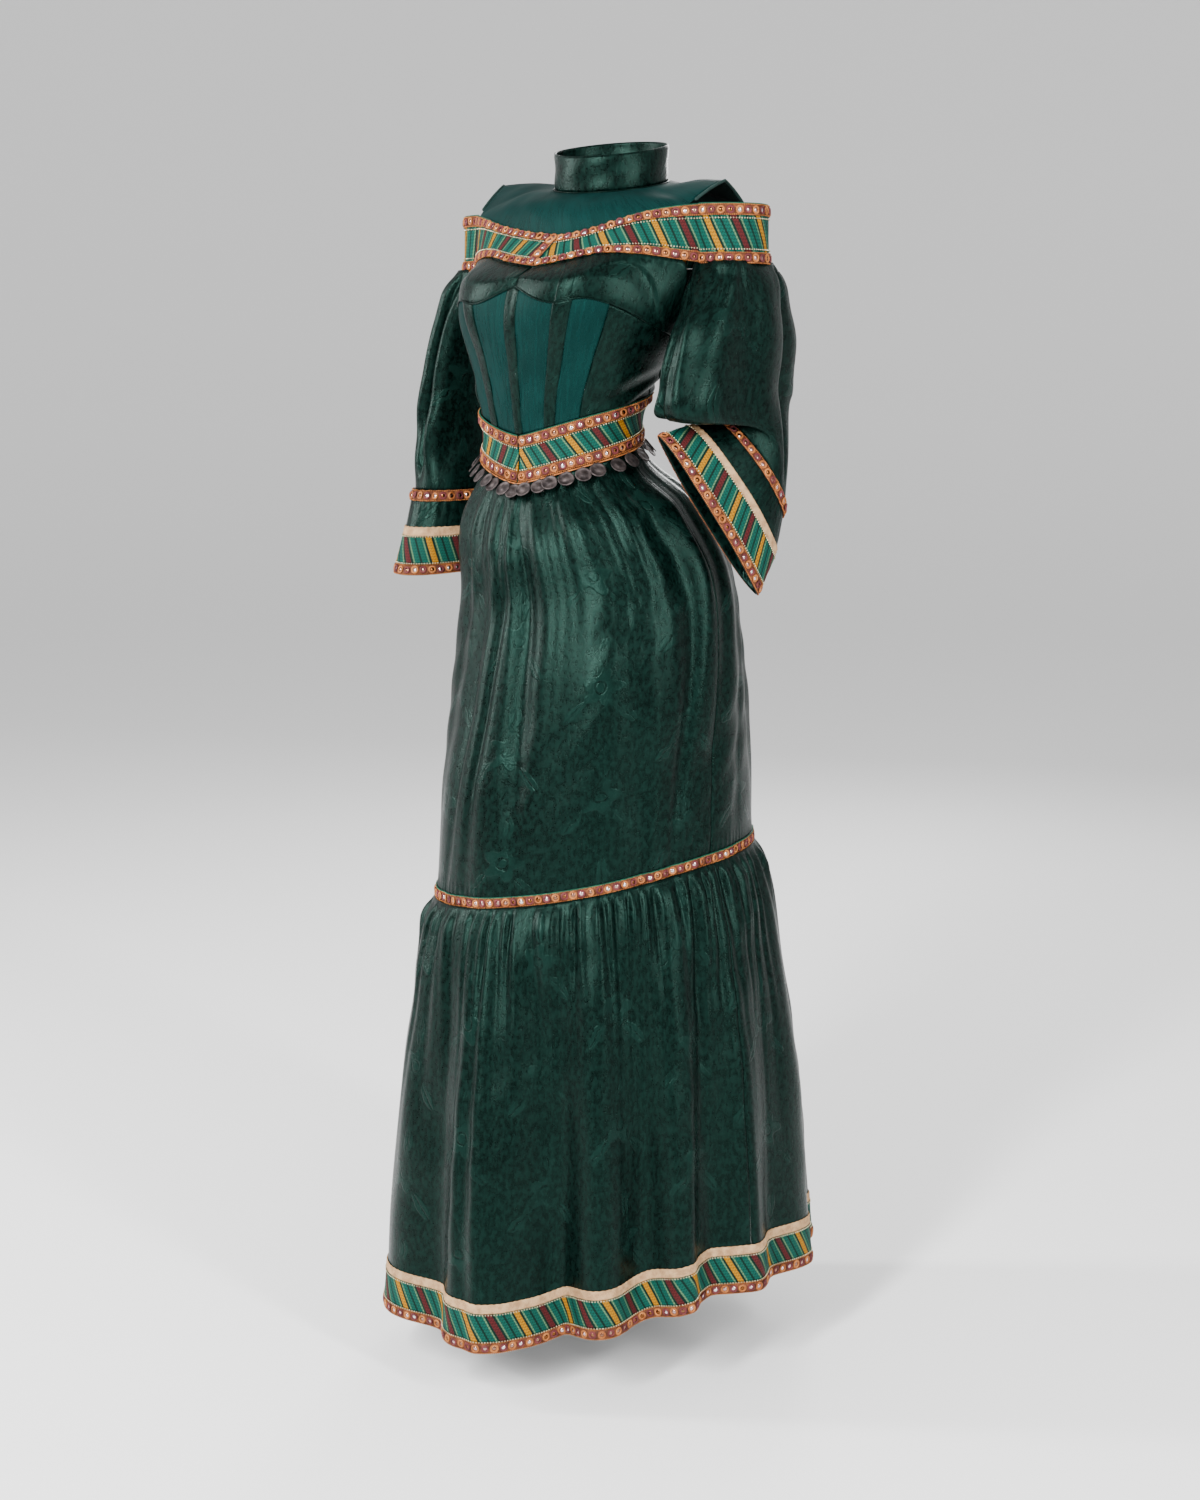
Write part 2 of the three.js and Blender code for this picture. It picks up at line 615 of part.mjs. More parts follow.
function buildTorso() {
  const angles = [...TORSO_ANGLES.slice(1).reverse().map((a) => -a), ...TORSO_ANGLES].slice(1);
  const shares = [0, 0.5, 1, 1.25, 1.5, 1.75, 2];
  const surface = (angle, share) => {
    const top = edgeHeight(ARMHOLE_EDGE, angle) - 1.5;
    const bust = edgeHeight(UNDER_BUST_EDGE, angle);
    const low = beltTop(angle) + BELT_CLEARANCE;
    const reach = Math.abs(wrapAngle(angle));
    if (share === 0 && (reach < FRONT_SEWN_TO || reach > BACK_SEWN_FROM)) return bandFoot(angle);
    return torsoPoint(angle, share < 1 ? mix(top, bust, share) : mix(bust, low, share - 1));
  };
  const grid = makeGrid(surface, angles, shares, { wraps: true, level: true });
  const column = (angle) => angles.indexOf(angle);
  const total = angles.length;
  const span = (from, to, r0, r1) => {
    const c0 = column(from);
    const c1 = column(to) < c0 ? column(to) + total : column(to);
    return { c0, c1, r0, r1 };
  };
  addWall('bust_left', 'satin', grid, span(0, SIDE_SEAM, 0, 2), 0, WALL);
  addWall('bust_right', 'satin', grid, span(-SIDE_SEAM, 0, 0, 2), 0, WALL);
  addWall('corset_mesh', 'mesh', grid, span(-MESH_EDGE, MESH_EDGE, 2, 6), 0, SHEER_WALL);
  addWall('side_left', 'satin', grid, span(MESH_EDGE, SIDE_SEAM, 2, 6), 0, WALL);
  addWall('side_right', 'satin', grid, span(-SIDE_SEAM, -MESH_EDGE, 2, 6), 0, WALL);
  addWall('back_panel', 'satin', grid, span(SIDE_SEAM, -SIDE_SEAM, 0, 6), 0, WALL);
  const low = SHEER_WALL + PLY_GAP;
  const high = low + 1;
  addWall('bone_casing_centre', 'satin', grid, span(-STRIP_HALF, STRIP_HALF, 2, 6), low, high);
  addWall('bone_casing_left', 'satin', grid, span(STRIP_IN, STRIP_OUT, 2, 6), low, high);
  addWall('bone_casing_right', 'satin', grid, span(-STRIP_OUT, -STRIP_IN, 2, 6), low, high);
}

function buildBelt() {
  const count = 36;
  const step = (360 - 2 * BELT_SLIT_ANGLE) / count;
  const angles = range(count).map((t, i) => BELT_SLIT_ANGLE + step * i);
  const surface = (angle, share) => torsoPoint(angle, mix(beltTop(angle), beltBottom(angle), share));
  const tape = MIRROR_TAPE / BELT_HEIGHT;
  const grid = makeGrid(surface, angles, [0, tape, 1 - tape, 1], { level: true });
  const ply = BELT_WALL + PLY_GAP;
  addWall('belt_ribbon', 'ribbon', grid, { c0: 0, c1: count, r0: 0, r1: 3 }, 0, BELT_WALL);
  addWall('belt_tape_top', 'mirrorTape', grid, { c0: 0, c1: count, r0: 0, r1: 1 }, ply, ply + TRIM_WALL);
  addWall('belt_tape_low', 'mirrorTape', grid, { c0: 0, c1: count, r0: 2, r1: 3 }, ply, ply + TRIM_WALL);
}

function toManifold(geometry) {
  const plain = geometry.clone();
  plain.deleteAttribute('normal');
  plain.deleteAttribute('uv');
  const merged = mergeVertices(plain, 1e-4);
  const mesh = new wasm.Mesh({
    numProp: 3,
    vertProperties: new Float32Array(merged.attributes.position.array),
    triVerts: new Uint32Array(merged.index.array),
  });
  return new wasm.Manifold(mesh);
}

function fromManifold(solid) {
  const mesh = solid.getMesh();
  const geometry = new THREE.BufferGeometry();
  geometry.setAttribute('position', new THREE.Float32BufferAttribute(mesh.vertProperties, 3));
  geometry.setIndex(Array.from(mesh.triVerts));
  return geometry;
}

// Coins on short necks, all fused to one narrow strip that runs just under the belt
function buildCoins() {
  const strip = makeGrid(
    (angle, share) => torsoPoint(angle, beltBottom(angle) - COIN_STRIP.start - COIN_STRIP.drop * share),
    evenAngles(COIN.count),
    [0, 1],
    { wraps: true, level: true },
  );
  const ring = { c0: 0, c1: COIN.count, r0: 0, r1: 1, isRing: true };
  let solid = toManifold(makeWall(strip, ring, COIN.out, COIN.out + COIN.wall));
  const outline = new THREE.Shape();
  const neckAngle = Math.asin(COIN.neck / COIN.radius);
  outline.absarc(0, 0, COIN.radius, Math.PI / 2 + neckAngle, Math.PI / 2 - neckAngle + 2 * Math.PI, false);
  outline.lineTo(COIN.neck, COIN.drop - 1);
  outline.lineTo(-COIN.neck, COIN.drop - 1);
  outline.closePath();
  for (let i = 0; i < COIN.count; i += 1) {
    const shape = new THREE.ExtrudeGeometry(outline, {
      depth: COIN.wall,
      bevelEnabled: false,
      curveSegments: COIN.arcSegments,
    });
    const point = strip.points[i][0];
    const normal = strip.normals[i][0];
    const tilt = COIN_TILT.reach * Math.sin(i * COIN_TILT.step);
    const facing = Math.atan2(normal.x, -normal.y);
    shape.translate(0, 1 - COIN.drop, 0);
    shape.rotateX(Math.PI / 2 - COIN.lean * RADIANS);
    shape.rotateY(tilt);
    shape.rotateZ(facing);
    shape.translate(
      point.x + normal.x * (COIN.out + COIN.wall),
      point.y + normal.y * (COIN.out + COIN.wall),
      point.z - 1,
    );
    solid = solid.add(toManifold(shape));
  }
  addPiece('coin_strip', 'coin', fromManifold(solid));
}

function buildSkirt() {
  const angles = evenAngles(SKIRT_COLUMNS);
  const tape = MIRROR_TAPE / (beltBottom(0) - KNEE_LOW);
  const shares = [0, 0.06, 0.15, 0.3, 0.6, 1 - tape, 1];
  const grid = makeGrid(skirtPoint, angles, shares, { wraps: true, level: true });
  const quarter = SKIRT_COLUMNS / 4;
  const last = shares.length - 1;
  addWall('skirt_front', 'satin', grid, { c0: quarter, c1: 3 * quarter, r0: 0, r1: last }, 0, WALL);
  addWall('skirt_back', 'satin', grid, { c0: 3 * quarter, c1: 5 * quarter, r0: 0, r1: last }, 0, WALL);
  const ring = { c0: 0, c1: SKIRT_COLUMNS, r0: last - 1, r1: last, isRing: true };
  addWall('knee_tape', 'mirrorTape', grid, ring, WALL + PLY_GAP, WALL + PLY_GAP + TRIM_WALL);
}

function buildFlounce() {
  const angles = evenAngles(FLOUNCE_COLUMNS);
  const length = KNEE_LOW - HEM_LOW;
  const trims = [MIRROR_TAPE + RIBBON + BRAID, MIRROR_TAPE + RIBBON, MIRROR_TAPE].map((h) => 1 - h / length);
  const shares = [0, 0.035, 0.1, 0.22, 0.45, 0.68, ...trims, 1];
  const grid = makeGrid(flouncePoint, angles, shares, { wraps: true, level: true });
  const quarter = FLOUNCE_COLUMNS / 4;
  const last = shares.length - 1;
  addWall('flounce_front', 'satin', grid, { c0: quarter, c1: 3 * quarter, r0: 0, r1: last }, 0, WALL);
  addWall('flounce_back', 'satin', grid, { c0: 3 * quarter, c1: 5 * quarter, r0: 0, r1: last }, 0, WALL);
  const ply = WALL + PLY_GAP;
  const ring = { c0: 0, c1: FLOUNCE_COLUMNS, isRing: true };
  addWall('hem_braid', 'braid', grid, { ...ring, r0: last - 3, r1: last - 2 }, ply, ply + TRIM_WALL);
  addWall('hem_ribbon', 'ribbon', grid, { ...ring, r0: last - 2, r1: last - 1 }, ply, ply + TRIM_WALL);
  addWall('hem_tape', 'mirrorTape', grid, { ...ring, r0: last - 1, r1: last }, ply, ply + TRIM_WALL);
}

function buildSleeve(name, upperRings, bellRings, bellRows, flip) {
  const phis = evenAngles(SLEEVE_COLUMNS, 0);
  const rows = [0, 0.12, 0.28, 0.5, 0.75, 0.9, 1];
  const ring = { c0: 0, c1: SLEEVE_COLUMNS, isRing: true };
  const ply = WALL + PLY_GAP;
  const options = { wraps: true, flip };
  const upper = makeGrid((phi, t) => sleevePoint(upperRings, phi, t, true), phis, rows, options);
  const last = rows.length - 1;
  addWall(`sleeve_${name}`, 'satin', upper, { ...ring, r0: 0, r1: last }, 0, WALL);
  const bell = makeGrid((phi, t) => sleevePoint(bellRings, phi, t, false), phis, bellRows, options);
  addWall(`bell_${name}`, 'satin', bell, { ...ring, r0: 0, r1: 5 }, 0, WALL);
  addWall(`elbow_tape_${name}`, 'mirrorTape', bell, { ...ring, r0: 0, r1: 1 }, ply, ply + TRIM_WALL);
  addWall(`cuff_braid_${name}`, 'braid', bell, { ...ring, r0: 2, r1: 3 }, ply, ply + TRIM_WALL);
  addWall(`cuff_ribbon_${name}`, 'ribbon', bell, { ...ring, r0: 3, r1: 4 }, ply, ply + TRIM_WALL);
  addWall(`cuff_tape_${name}`, 'mirrorTape', bell, { ...ring, r0: 4, r1: 5 }, ply, ply + TRIM_WALL);
}

buildCollar();
buildYoke();
buildBindings();
buildBand();
buildTorso();
buildBelt();
buildCoins();
buildSkirt();
buildFlounce();
buildSleeve('left', NEAR_SLEEVE, NEAR_BELL, BELL_ROWS.near, true);
buildSleeve('right', FAR_SLEEVE, FAR_BELL, BELL_ROWS.far, false);

export default dress;
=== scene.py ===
import bpy
import numpy as np
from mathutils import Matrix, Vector


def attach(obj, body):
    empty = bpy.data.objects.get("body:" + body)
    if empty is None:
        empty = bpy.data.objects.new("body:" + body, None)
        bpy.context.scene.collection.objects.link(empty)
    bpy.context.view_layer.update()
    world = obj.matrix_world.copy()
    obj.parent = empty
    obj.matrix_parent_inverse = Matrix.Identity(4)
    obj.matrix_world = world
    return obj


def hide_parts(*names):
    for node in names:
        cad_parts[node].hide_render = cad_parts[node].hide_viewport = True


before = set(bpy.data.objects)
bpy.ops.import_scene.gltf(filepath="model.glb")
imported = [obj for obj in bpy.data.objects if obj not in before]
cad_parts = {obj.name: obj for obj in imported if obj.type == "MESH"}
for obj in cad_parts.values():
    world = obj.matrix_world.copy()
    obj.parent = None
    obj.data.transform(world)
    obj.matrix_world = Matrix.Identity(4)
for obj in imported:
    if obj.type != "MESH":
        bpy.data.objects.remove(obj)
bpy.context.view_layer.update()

MM = 0.001
SMALL = 1e-9
UP = np.array([0, 0, 1.0])
RNG = np.random.default_rng(7)

# Cloth and trim sizes
SHEER_WALL = 1.1
TRIM_LIFT = 1.7
MIRROR_TAPE = 12.5
BRAID = 11.0
RIBBON = 33.0

# Collar, yoke and armholes
COLLAR = {"radius": 68.0, "height": 42.0, "base": 18.0, "tilt": 14.0, "low_at": 15.0}
SHOULDER_LEFT = (163.0, 3.0, 15.0)
SHOULDER_RIGHT = (-171.0, 3.0, 25.0)
YOKE_FOOT_X = 158.0
YOKE_SEAT = 0.5
YOKE_PUFF = {"rise": (9, 2), "out": (14, 3)}
BINDING_RADIUS = 2.0
BINDING_SHARE = 0.22
BINDING_START = 0.14
BINDING_GAP = 0.45

# Off-shoulder band; its edges are rows of x, top and bottom
BAND_WIDTH = 66.0
BAND = {"arm_x": 167.0, "arm_radius": 50.0, "chest_top": 75.0, "chest_bottom": 101.0, "back": 42.0}
BAND_FRONT_END = 0.42
BAND_ARM_END = 0.62
BAND_BACK_BLEND = 0.15
BAND_ARM_KEY = 200.0
BAND_FLARE = 0.012
BAND_CROSS_TOP = 22.0
BAND_CROSS_BOTTOM = 2.0
BAND_CROSS_TAPE = 0.027
BAND_FRONT_EDGES = [
    (0, -50, -85), (40, -45, -79), (80, -36, -71), (120, -24, -72), (165, -16, -80), (200, -15, -82),
]
BAND_BACK_TOP = -14.0
BAND_BACK_BOTTOM = -80.0
BAND_SEAT = 0.2
BAND_FOOT_CENTRE = (-1.0, -38.0)
FRONT_SEWN_TO = 79.0
BACK_SEWN_FROM = 142.0

# Torso sections: height, centre x, centre y, half width, front half depth, back half depth
TORSO = [
    (-400, -14, -52, 150, 128, 128),
    (-340, -24, -61, 114, 88, 90),
    (-290, -25, -65, 104, 80, 82),
    (-250, -25, -66, 108, 84, 84),
    (-200, -18, -62, 126, 102, 97),
    (-150, -10, -56, 147, 122, 112),
    (-107, -5, -46, 148, 125, 116),
    (-70, -1, -36, 147, 116, 122),
    (-30, 0, -30, 145, 108, 120),
]
CUP = {"angle": 33.0, "height": -102.0, "reach": 17.0, "angle_spread": 19.0, "height_spread": 34.0}
ARMHOLE_EDGE = [
    (0, -86), (15, -80), (30, -73), (48, -71), (60, -79), (76, -124),
    (92, -144), (108, -128), (122, -94), (136, -82), (180, -81),
]
UNDER_BUST_EDGE = [(0, -107), (22, -126), (40, -122), (58, -134), (80, -156), (105, -170), (180, -175)]
BELT = {"top": -281.0, "height": 54.0, "rise": 52.0, "rise_angle": 115.0, "slit": 0.7, "clear": 1.6}
STRIP_HALF = 4.0
STRIP_IN = 25.5
STRIP_OUT = 34.5
MESH_EDGE = 52.0
SIDE_SEAM = 105.0

# Coins
COIN = {"count": 34, "wall": 1.2, "drop": 12.0, "out": 3.4, "lean": 40.0, "start": 0.75, "strip": 3.0}
COIN_TILT = {"reach": 0.2, "step": 2.4}
COIN_PROFILE = [
    (0, 0), (7.2, 0), (7.6, -0.15), (9.9, -0.1), (9.9, 1.2),
    (8.6, 1.3), (8.2, 1.0), (3.4, 1.05), (3.0, 1.3), (0, 1.35),
]

# Skirt and flounce sections: share down, centre x, centre y, long half axis, short half axis, turn
SKIRT = [
    (0, -24, -62, 112, 86, -90),
    (0.06, -22, -58, 130, 103, -90),
    (0.15, -12, -48, 154, 130, -90),
    (0.3, 0, -30, 174, 152, -90),
    (0.5, 4, -30, 184, 172, -90),
    (0.75, 6, -36, 194, 172, -36),
    (1, 8, -42, 200, 168, -36),
]
SKIRT_GATHERS = {"count": 18, "depth": 7.0, "fade": 3.2, "uneven": 0.12, "folds": 7, "fold_depth": 5.0}
KNEE = {"low": -850.0, "rise": 66.0, "low_at": -55.0}
FLOUNCE = [
    (0, 8, -42, 202, 170, -36),
    (0.06, 10, -43, 220, 186, -36),
    (0.3, 24, -52, 246, 206, -36),
    (0.65, 38, -62, 272, 222, -36),
    (1, 48, -70, 288, 230, -36),
]
FLOUNCE_GATHERS = {"count": 21, "depth": 8.0, "fade": 3.6, "uneven": 0.08}
HEM_LOW = -1350.0
HEM = [
    (-180, -1322), (-110, -1330), (-60, -1342), (-20, -1350), (14, -1350), (30, -1334),
    (50, -1328), (66, -1310), (100, -1304), (140, -1312), (180, -1322),
]
# Valleys between the deep folds: angle, depth at the hem, angular width
FLOUNCE_VALLEYS = [
    (-112, 26, 8), (-82, 24, 7), (-52, 26, 8), (-18, 30, 7), (20, 62, 8), (51, 54, 8),
    (78, 46, 7), (103, 34, 8), (130, 32, 8), (157, 34, 8), (186, 32, 8), (216, 32, 8),
]

# Sleeve rings: share, centre x y z, vector to the outer side, vector to the front
NEAR_SLEEVE = [
    (0, 181, 0, -82.5, 35.5, 0, 0, 0, -50, 0),
    (0.12, 186, -2, -114, 42, 0, 4, 0, -72, 0),
    (0.35, 190, -10, -166, 46, 0, 4, 0, -102, 2),
    (0.58, 182, -14, -222, 49, 0, 3, 0, -108, 2),
    (0.75, 181, -14, -253, 49, -2, -6, -6, -98, -8),
    (0.9, 194.5, 20, -284, 39, -10, -2, -16.5, -33, 42.5),
    (1, 199.6, 15.8, -312.5, 31, -14, 0, -22.7, -28.6, 51.6),
]
NEAR_BELL = [
    (0, 199.4, 14.7, -313.5, 31, -14, 0, -22.8, -29.2, 51),
    (0.5, 194, -15, -342, 29, -18, 0, -29, -42, 74),
    (1, 184, -52, -373, 26, -23, 0, -33, -52, 93),
]
FAR_SLEEVE = [
    (0, -188, 0, -83.2, -29, 0, 0, 0, -50, 0),
    (0.12, -204, 4, -114, -38, 0, 4, 0, -68, 0),
    (0.35, -224, 12, -172, -45, 0, 4, 0, -82, 0),
    (0.65, -238, 12, -254, -50, 0, 4, 0, -84, 0),
    (1, -242, 4, -352, -48, 0, 0, 0, -82, -3),
]
FAR_BELL = [
    (0, -242, 4, -352, -49.8, 0, 0, 0, -83.8, -3),
    (0.5, -245, -3, -405, -53, 0, 0, 0, -90, -5),
    (1, -248, -12, -454, -56, 0, 0, 0, -96, -8),
]
SLEEVE_FOLDS = 5
SLEEVE_RADIUS = 75
SLEEVE_FOLD_DEPTH = 7.0
ARMPIT_DIP = 60.0
ARMPIT_POWER = 4
BELL_ROWS = {"left": (0, 0.125, 0.47, 0.57, 0.88, 1), "right": (0, 0.125, 0.42, 0.53, 0.87, 1)}


def mix(a, b, t):
    return a + (b - a) * t


def smooth(t):
    s = np.clip(t, 0, 1)
    return s * s * (3 - 2 * s)


def row_at(rows, key, value_of=None):
    """Smooth curve through the rows of a table whose first column is the key."""
    rows = np.asarray(rows, float)
    key = np.asarray(key, float)
    last = len(rows) - 1
    i = np.clip(np.searchsorted(rows[:, 0], key, side="left") - 1, 0, last - 1)
    four = [rows[np.maximum(i - 1, 0)], rows[i], rows[i + 1], rows[np.minimum(i + 2, last)]]
    before, start, end, after = [value_of(r) for r in four] if value_of else four
    keys = [r[..., 0] if value_of else r[..., :1] for r in four]
    before_key, start_key, end_key, after_key = keys
    if not value_of:
        key = key[..., None]
    span = end_key - start_key
    t = np.clip((key - start_key) / span, 0, 1)
    slope_start = (end - before) / (end_key - before_key) * span
    slope_end = (after - start) / (after_key - start_key) * span
    value = (2 * t**3 - 3 * t**2 + 1) * start + (t**3 - 2 * t**2 + t) * slope_start
    return value + (3 * t**2 - 2 * t**3) * end + (t**3 - t**2) * slope_end


def wrap_angle(angle):
    return (np.asarray(angle, float) + 180) % 360 - 180


def ellipse_radius(angle, long, short, turn):
    local = np.radians(angle - turn)
    return 1 / np.hypot(np.cos(local) / long, np.sin(local) / short)


def around(cx, cy, radius, angle, z):
    a = np.radians(angle)
    return np.stack(np.broadcast_arrays(cx + radius * np.sin(a), cy - radius * np.cos(a), z), -1)


def edge_height(table, angle):
    return row_at(table, np.abs(wrap_angle(angle)))[..., 1]


def belt_top(angle):
    share = np.clip(np.abs(wrap_angle(angle)) / BELT["rise_angle"], 0, 1)
    return BELT["top"] + BELT["rise"] * share**1.35 * (1.25 - 0.25 * share)


def belt_bottom(angle):
    return belt_top(angle) - BELT["height"]


def knee_height(angle):
    return KNEE["low"] + KNEE["rise"] * (0.5 - 0.5 * np.cos(np.radians(angle - KNEE["low_at"])))


def hem_height(angle):
    return row_at(HEM, wrap_angle(angle))[..., 1]


def torso_point(angle, z):
    row = row_at(TORSO, z)
    turned = np.abs(wrap_angle(angle))
    depth = np.where(turned < 90, row[..., 4], row[..., 5])
    aside = (turned - CUP["angle"]) / CUP["angle_spread"]
    above = (z - CUP["height"]) / CUP["height_spread"]
    cup = CUP["reach"] * np.exp(-0.5 * (aside**2 + above**2))
    return around(row[..., 1], row[..., 2], ellipse_radius(angle, row[..., 3], depth, 90) + cup, angle, z)


def section_radius(table, angle, share):
    return row_at(table, share, lambda r: ellipse_radius(angle, r[..., 3], r[..., 4], r[..., 5]))


def skirt_point(angle, share):
    row = row_at(SKIRT, share)
    g = SKIRT_GATHERS
    gather = g["depth"] * smooth(share / 0.06) * np.exp(-share * g["fade"])
    fold = g["fold_depth"] * smooth(share * 2) * (1 - 0.6 * smooth((share - 0.7) / 0.3))
    phase = np.radians(angle)
    uneven = phase + g["uneven"] * np.sin(3 * phase + 0.7)
    inward = gather * (0.5 - 0.5 * np.cos(g["count"] * uneven))
    inward = inward + fold * (0.5 - 0.5 * np.cos(g["folds"] * uneven + 1.1)) - skirt_detail(angle, share)
    z = mix(belt_bottom(angle) - BELT["clear"], knee_height(angle), share)
    point = around(row[..., 1], row[..., 2], section_radius(SKIRT, angle, share) - inward, angle, z)
    return mix(torso_point(angle, z), point, smooth(share / 0.13)[..., None])


def crest(turn):
    """A wave with a narrower crest than a sine, as a soft fold has."""
    return np.sin(turn) + 0.3 * np.sin(2 * turn + 1)


def skirt_detail(angle, share):
    """Fine gathers under the belt, soft creases lower down and small puckers at the knee seam."""
    a = np.radians(angle)
    drift = a + 0.05 * np.sin(5 * a + 1.3) + 0.03 * np.sin(11 * a + 6 * share)
    top = smooth(share / 0.05) * np.exp(-share * 4.2)
    fine = (1.0 + 0.6 * np.sin(5 * a + 2)) * top * np.sin(33 * drift + 2.6 * np.sin(4 * a + 1.5 * share))
    fine = fine + 0.7 * top * np.sin(64 * drift + 3 * np.sin(3 * a))
    middle = smooth(share / 0.2) * (1 - 0.7 * smooth((share - 0.6) / 0.4))
    turn = 15 * drift + 3.2 * np.sin(3 * a + 2 * share)
    soft = 3.6 * middle * crest(turn) * (0.6 + 0.4 * np.sin(5 * a + 3 * share))
    creases = 0.7 * middle * np.sin(9 * a + 34 * share + 3 * np.sin(4 * a + 7 * share))
    pucker = 0.6 * smooth((share - 0.93) / 0.05) * np.sin(150 * a + 3 * np.sin(9 * a))
    return fine + soft + creases + pucker


def flounce_point(angle, share):
    row = row_at(FLOUNCE, share)
    g = FLOUNCE_GATHERS
    phase = np.radians(angle)
    uneven = phase + g["uneven"] * np.sin(4 * phase + 2.1)
    gather = g["depth"] * smooth(share / 0.06) * np.exp(-share * g["fade"])
    out = gather * (0.5 * np.cos(g["count"] * uneven) - 0.5)
    grown = 0.35 * smooth(share / 0.3) + 0.65 * smooth(share)
    for centre, valley, width in FLOUNCE_VALLEYS:
        off = wrap_angle(angle - centre) / width
        out = out - valley * grown * np.exp(-0.5 * off * off)
    out = out + flounce_detail(angle, share)
    z = mix(knee_height(angle), hem_height(angle), share)
    return around(row[..., 1], row[..., 2], section_radius(FLOUNCE, angle, share) + out, angle, z)


def flounce_detail(angle, share):
    """Dense gathers at the seam that run out into soft ripples before the hem."""
    a = np.radians(angle)
    drift = a + 0.03 * np.sin(7 * a + 0.4) + 0.02 * np.sin(13 * a + 4 * share)
    top = smooth(share / 0.035) * np.exp(-share * 5.5)
    fine = 3.0 * top * np.sin(61 * drift + 1.6 * np.sin(9 * a)) + 1.5 * top * np.sin(104 * drift + 1)
    middle = smooth(share / 0.15) * (1 - 0.75 * smooth((share - 0.55) / 0.4))
    soft = 2.6 * middle * np.sin(33 * drift + 2.2 * np.sin(4 * a + share))
    soft = soft * (0.55 + 0.45 * np.sin(6 * a + 2 * share))
    turn = 19 * drift + 2 * np.sin(5 * a)
    low = 2.0 * smooth((share - 0.15) / 0.5) * crest(turn)
    creases = 0.8 * middle * np.sin(7 * a - 28 * share + 3 * np.sin(5 * a + 6 * share))
    return fine + soft + low + creases


def sleeve_point(rings, phi, share, is_upper, detail=None):
    row = row_at(rings, share)
    a = np.radians(phi)
    power = mix(0.6, 1, smooth(share / 0.25)) if is_upper else 1
    c, s = [np.sign(wave) * np.abs(wave) ** power for wave in (np.cos(a), np.sin(a))]
    depth = SLEEVE_FOLD_DEPTH * np.sin(np.pi * np.clip(share, 0, 1)) ** 0.7 if is_upper else 0
    fold = 1 - (depth / SLEEVE_RADIUS) * (0.5 - 0.5 * np.cos(SLEEVE_FOLDS * a + 2 * np.sin(a) + share))
    inner = np.maximum(0, -np.cos(a)) ** ARMPIT_POWER
    dip = ARMPIT_DIP * inner * (1 - smooth(share / 0.4)) if is_upper else 0
    if detail is not None:
        fold = fold + detail(a, share) / SLEEVE_RADIUS
    x = row[..., 1] + (row[..., 4] * c + row[..., 7] * s) * fold
    y = row[..., 2] + (row[..., 5] * c + row[..., 8] * s) * fold
    tucked = 3.5 + 5 * np.sqrt(np.maximum(0, -np.cos(a)))
    tuck = tucked * np.exp(-share * 60) if is_upper else 0
    z = row[..., 3] + row[..., 6] * c + row[..., 9] * s - dip + tuck
    return np.stack([x, y, z], -1)


def sleeve_detail(seed, calm_end):
    """Gathers below the band that open into long soft folds, with slanted drags near the elbow."""
    shift = seed * 1.7

    def detail(a, share):
        ends = smooth(share / 0.06) * (1 - smooth((share - calm_end) / (1 - calm_end)))
        top = smooth(share / 0.05) * np.exp(-share * 6)
        gathers = (1.3 + 0.7 * np.sin(4 * a)) * top * np.sin(19 * a + 2 * np.sin(2 * a + shift))
        turn = 6 * a + 2.8 * np.sin(2 * a + shift) + 2.2 * share
        folds = 5.0 * ends * crest(turn)
        fine = 0.9 * ends * np.sin(9 * a + 6 * share + 1.5 * np.sin(2 * a + shift))
        slanted = np.sin(3 * a + 19 * share + 2 * np.sin(2 * a + shift))
        drags = 2.2 * ends * smooth((share - 0.35) / 0.4) * slanted
        return gathers + folds + fine + drags

    return detail


def bell_detail(seed):
    def detail(a, share):
        gather = 1.6 * np.exp(-share * 7) * smooth(share / 0.06) * np.sin(31 * a + seed)
        return gather + 1.6 * smooth(share / 0.3) * np.sin(4 * a + seed + share) * (1 - 0.4 * share)

    return detail


def band_plan(share, chest):
    swell_at = lambda x: np.maximum(np.cos(np.pi * x / (2 * BAND["arm_x"])), 0) ** 0.8
    front_x = BAND["arm_x"] * np.clip(share / BAND_FRONT_END, 0, 1)
    turn = np.pi * np.clip((share - BAND_FRONT_END) / (BAND_ARM_END - BAND_FRONT_END), 0, 1)
    back_x = BAND["arm_x"] * (1 - np.clip((share - BAND_ARM_END) / (1 - BAND_ARM_END), 0, 1))
    in_front = share < BAND_FRONT_END
    in_arm = share < BAND_ARM_END
    arm_x = BAND["arm_x"] + BAND["arm_radius"] * np.sin(turn)
    x = np.where(in_front, front_x, np.where(in_arm, arm_x, back_x))
    front_y = -(BAND["arm_radius"] + chest * swell_at(front_x))
    back_y = BAND["arm_radius"] + BAND["back"] * swell_at(back_x)
    y = np.where(in_front, front_y, np.where(in_arm, -BAND["arm_radius"] * np.cos(turn), back_y))
    key = np.where(in_front, front_x, BAND_ARM_KEY)
    return x, y, key, ~in_arm


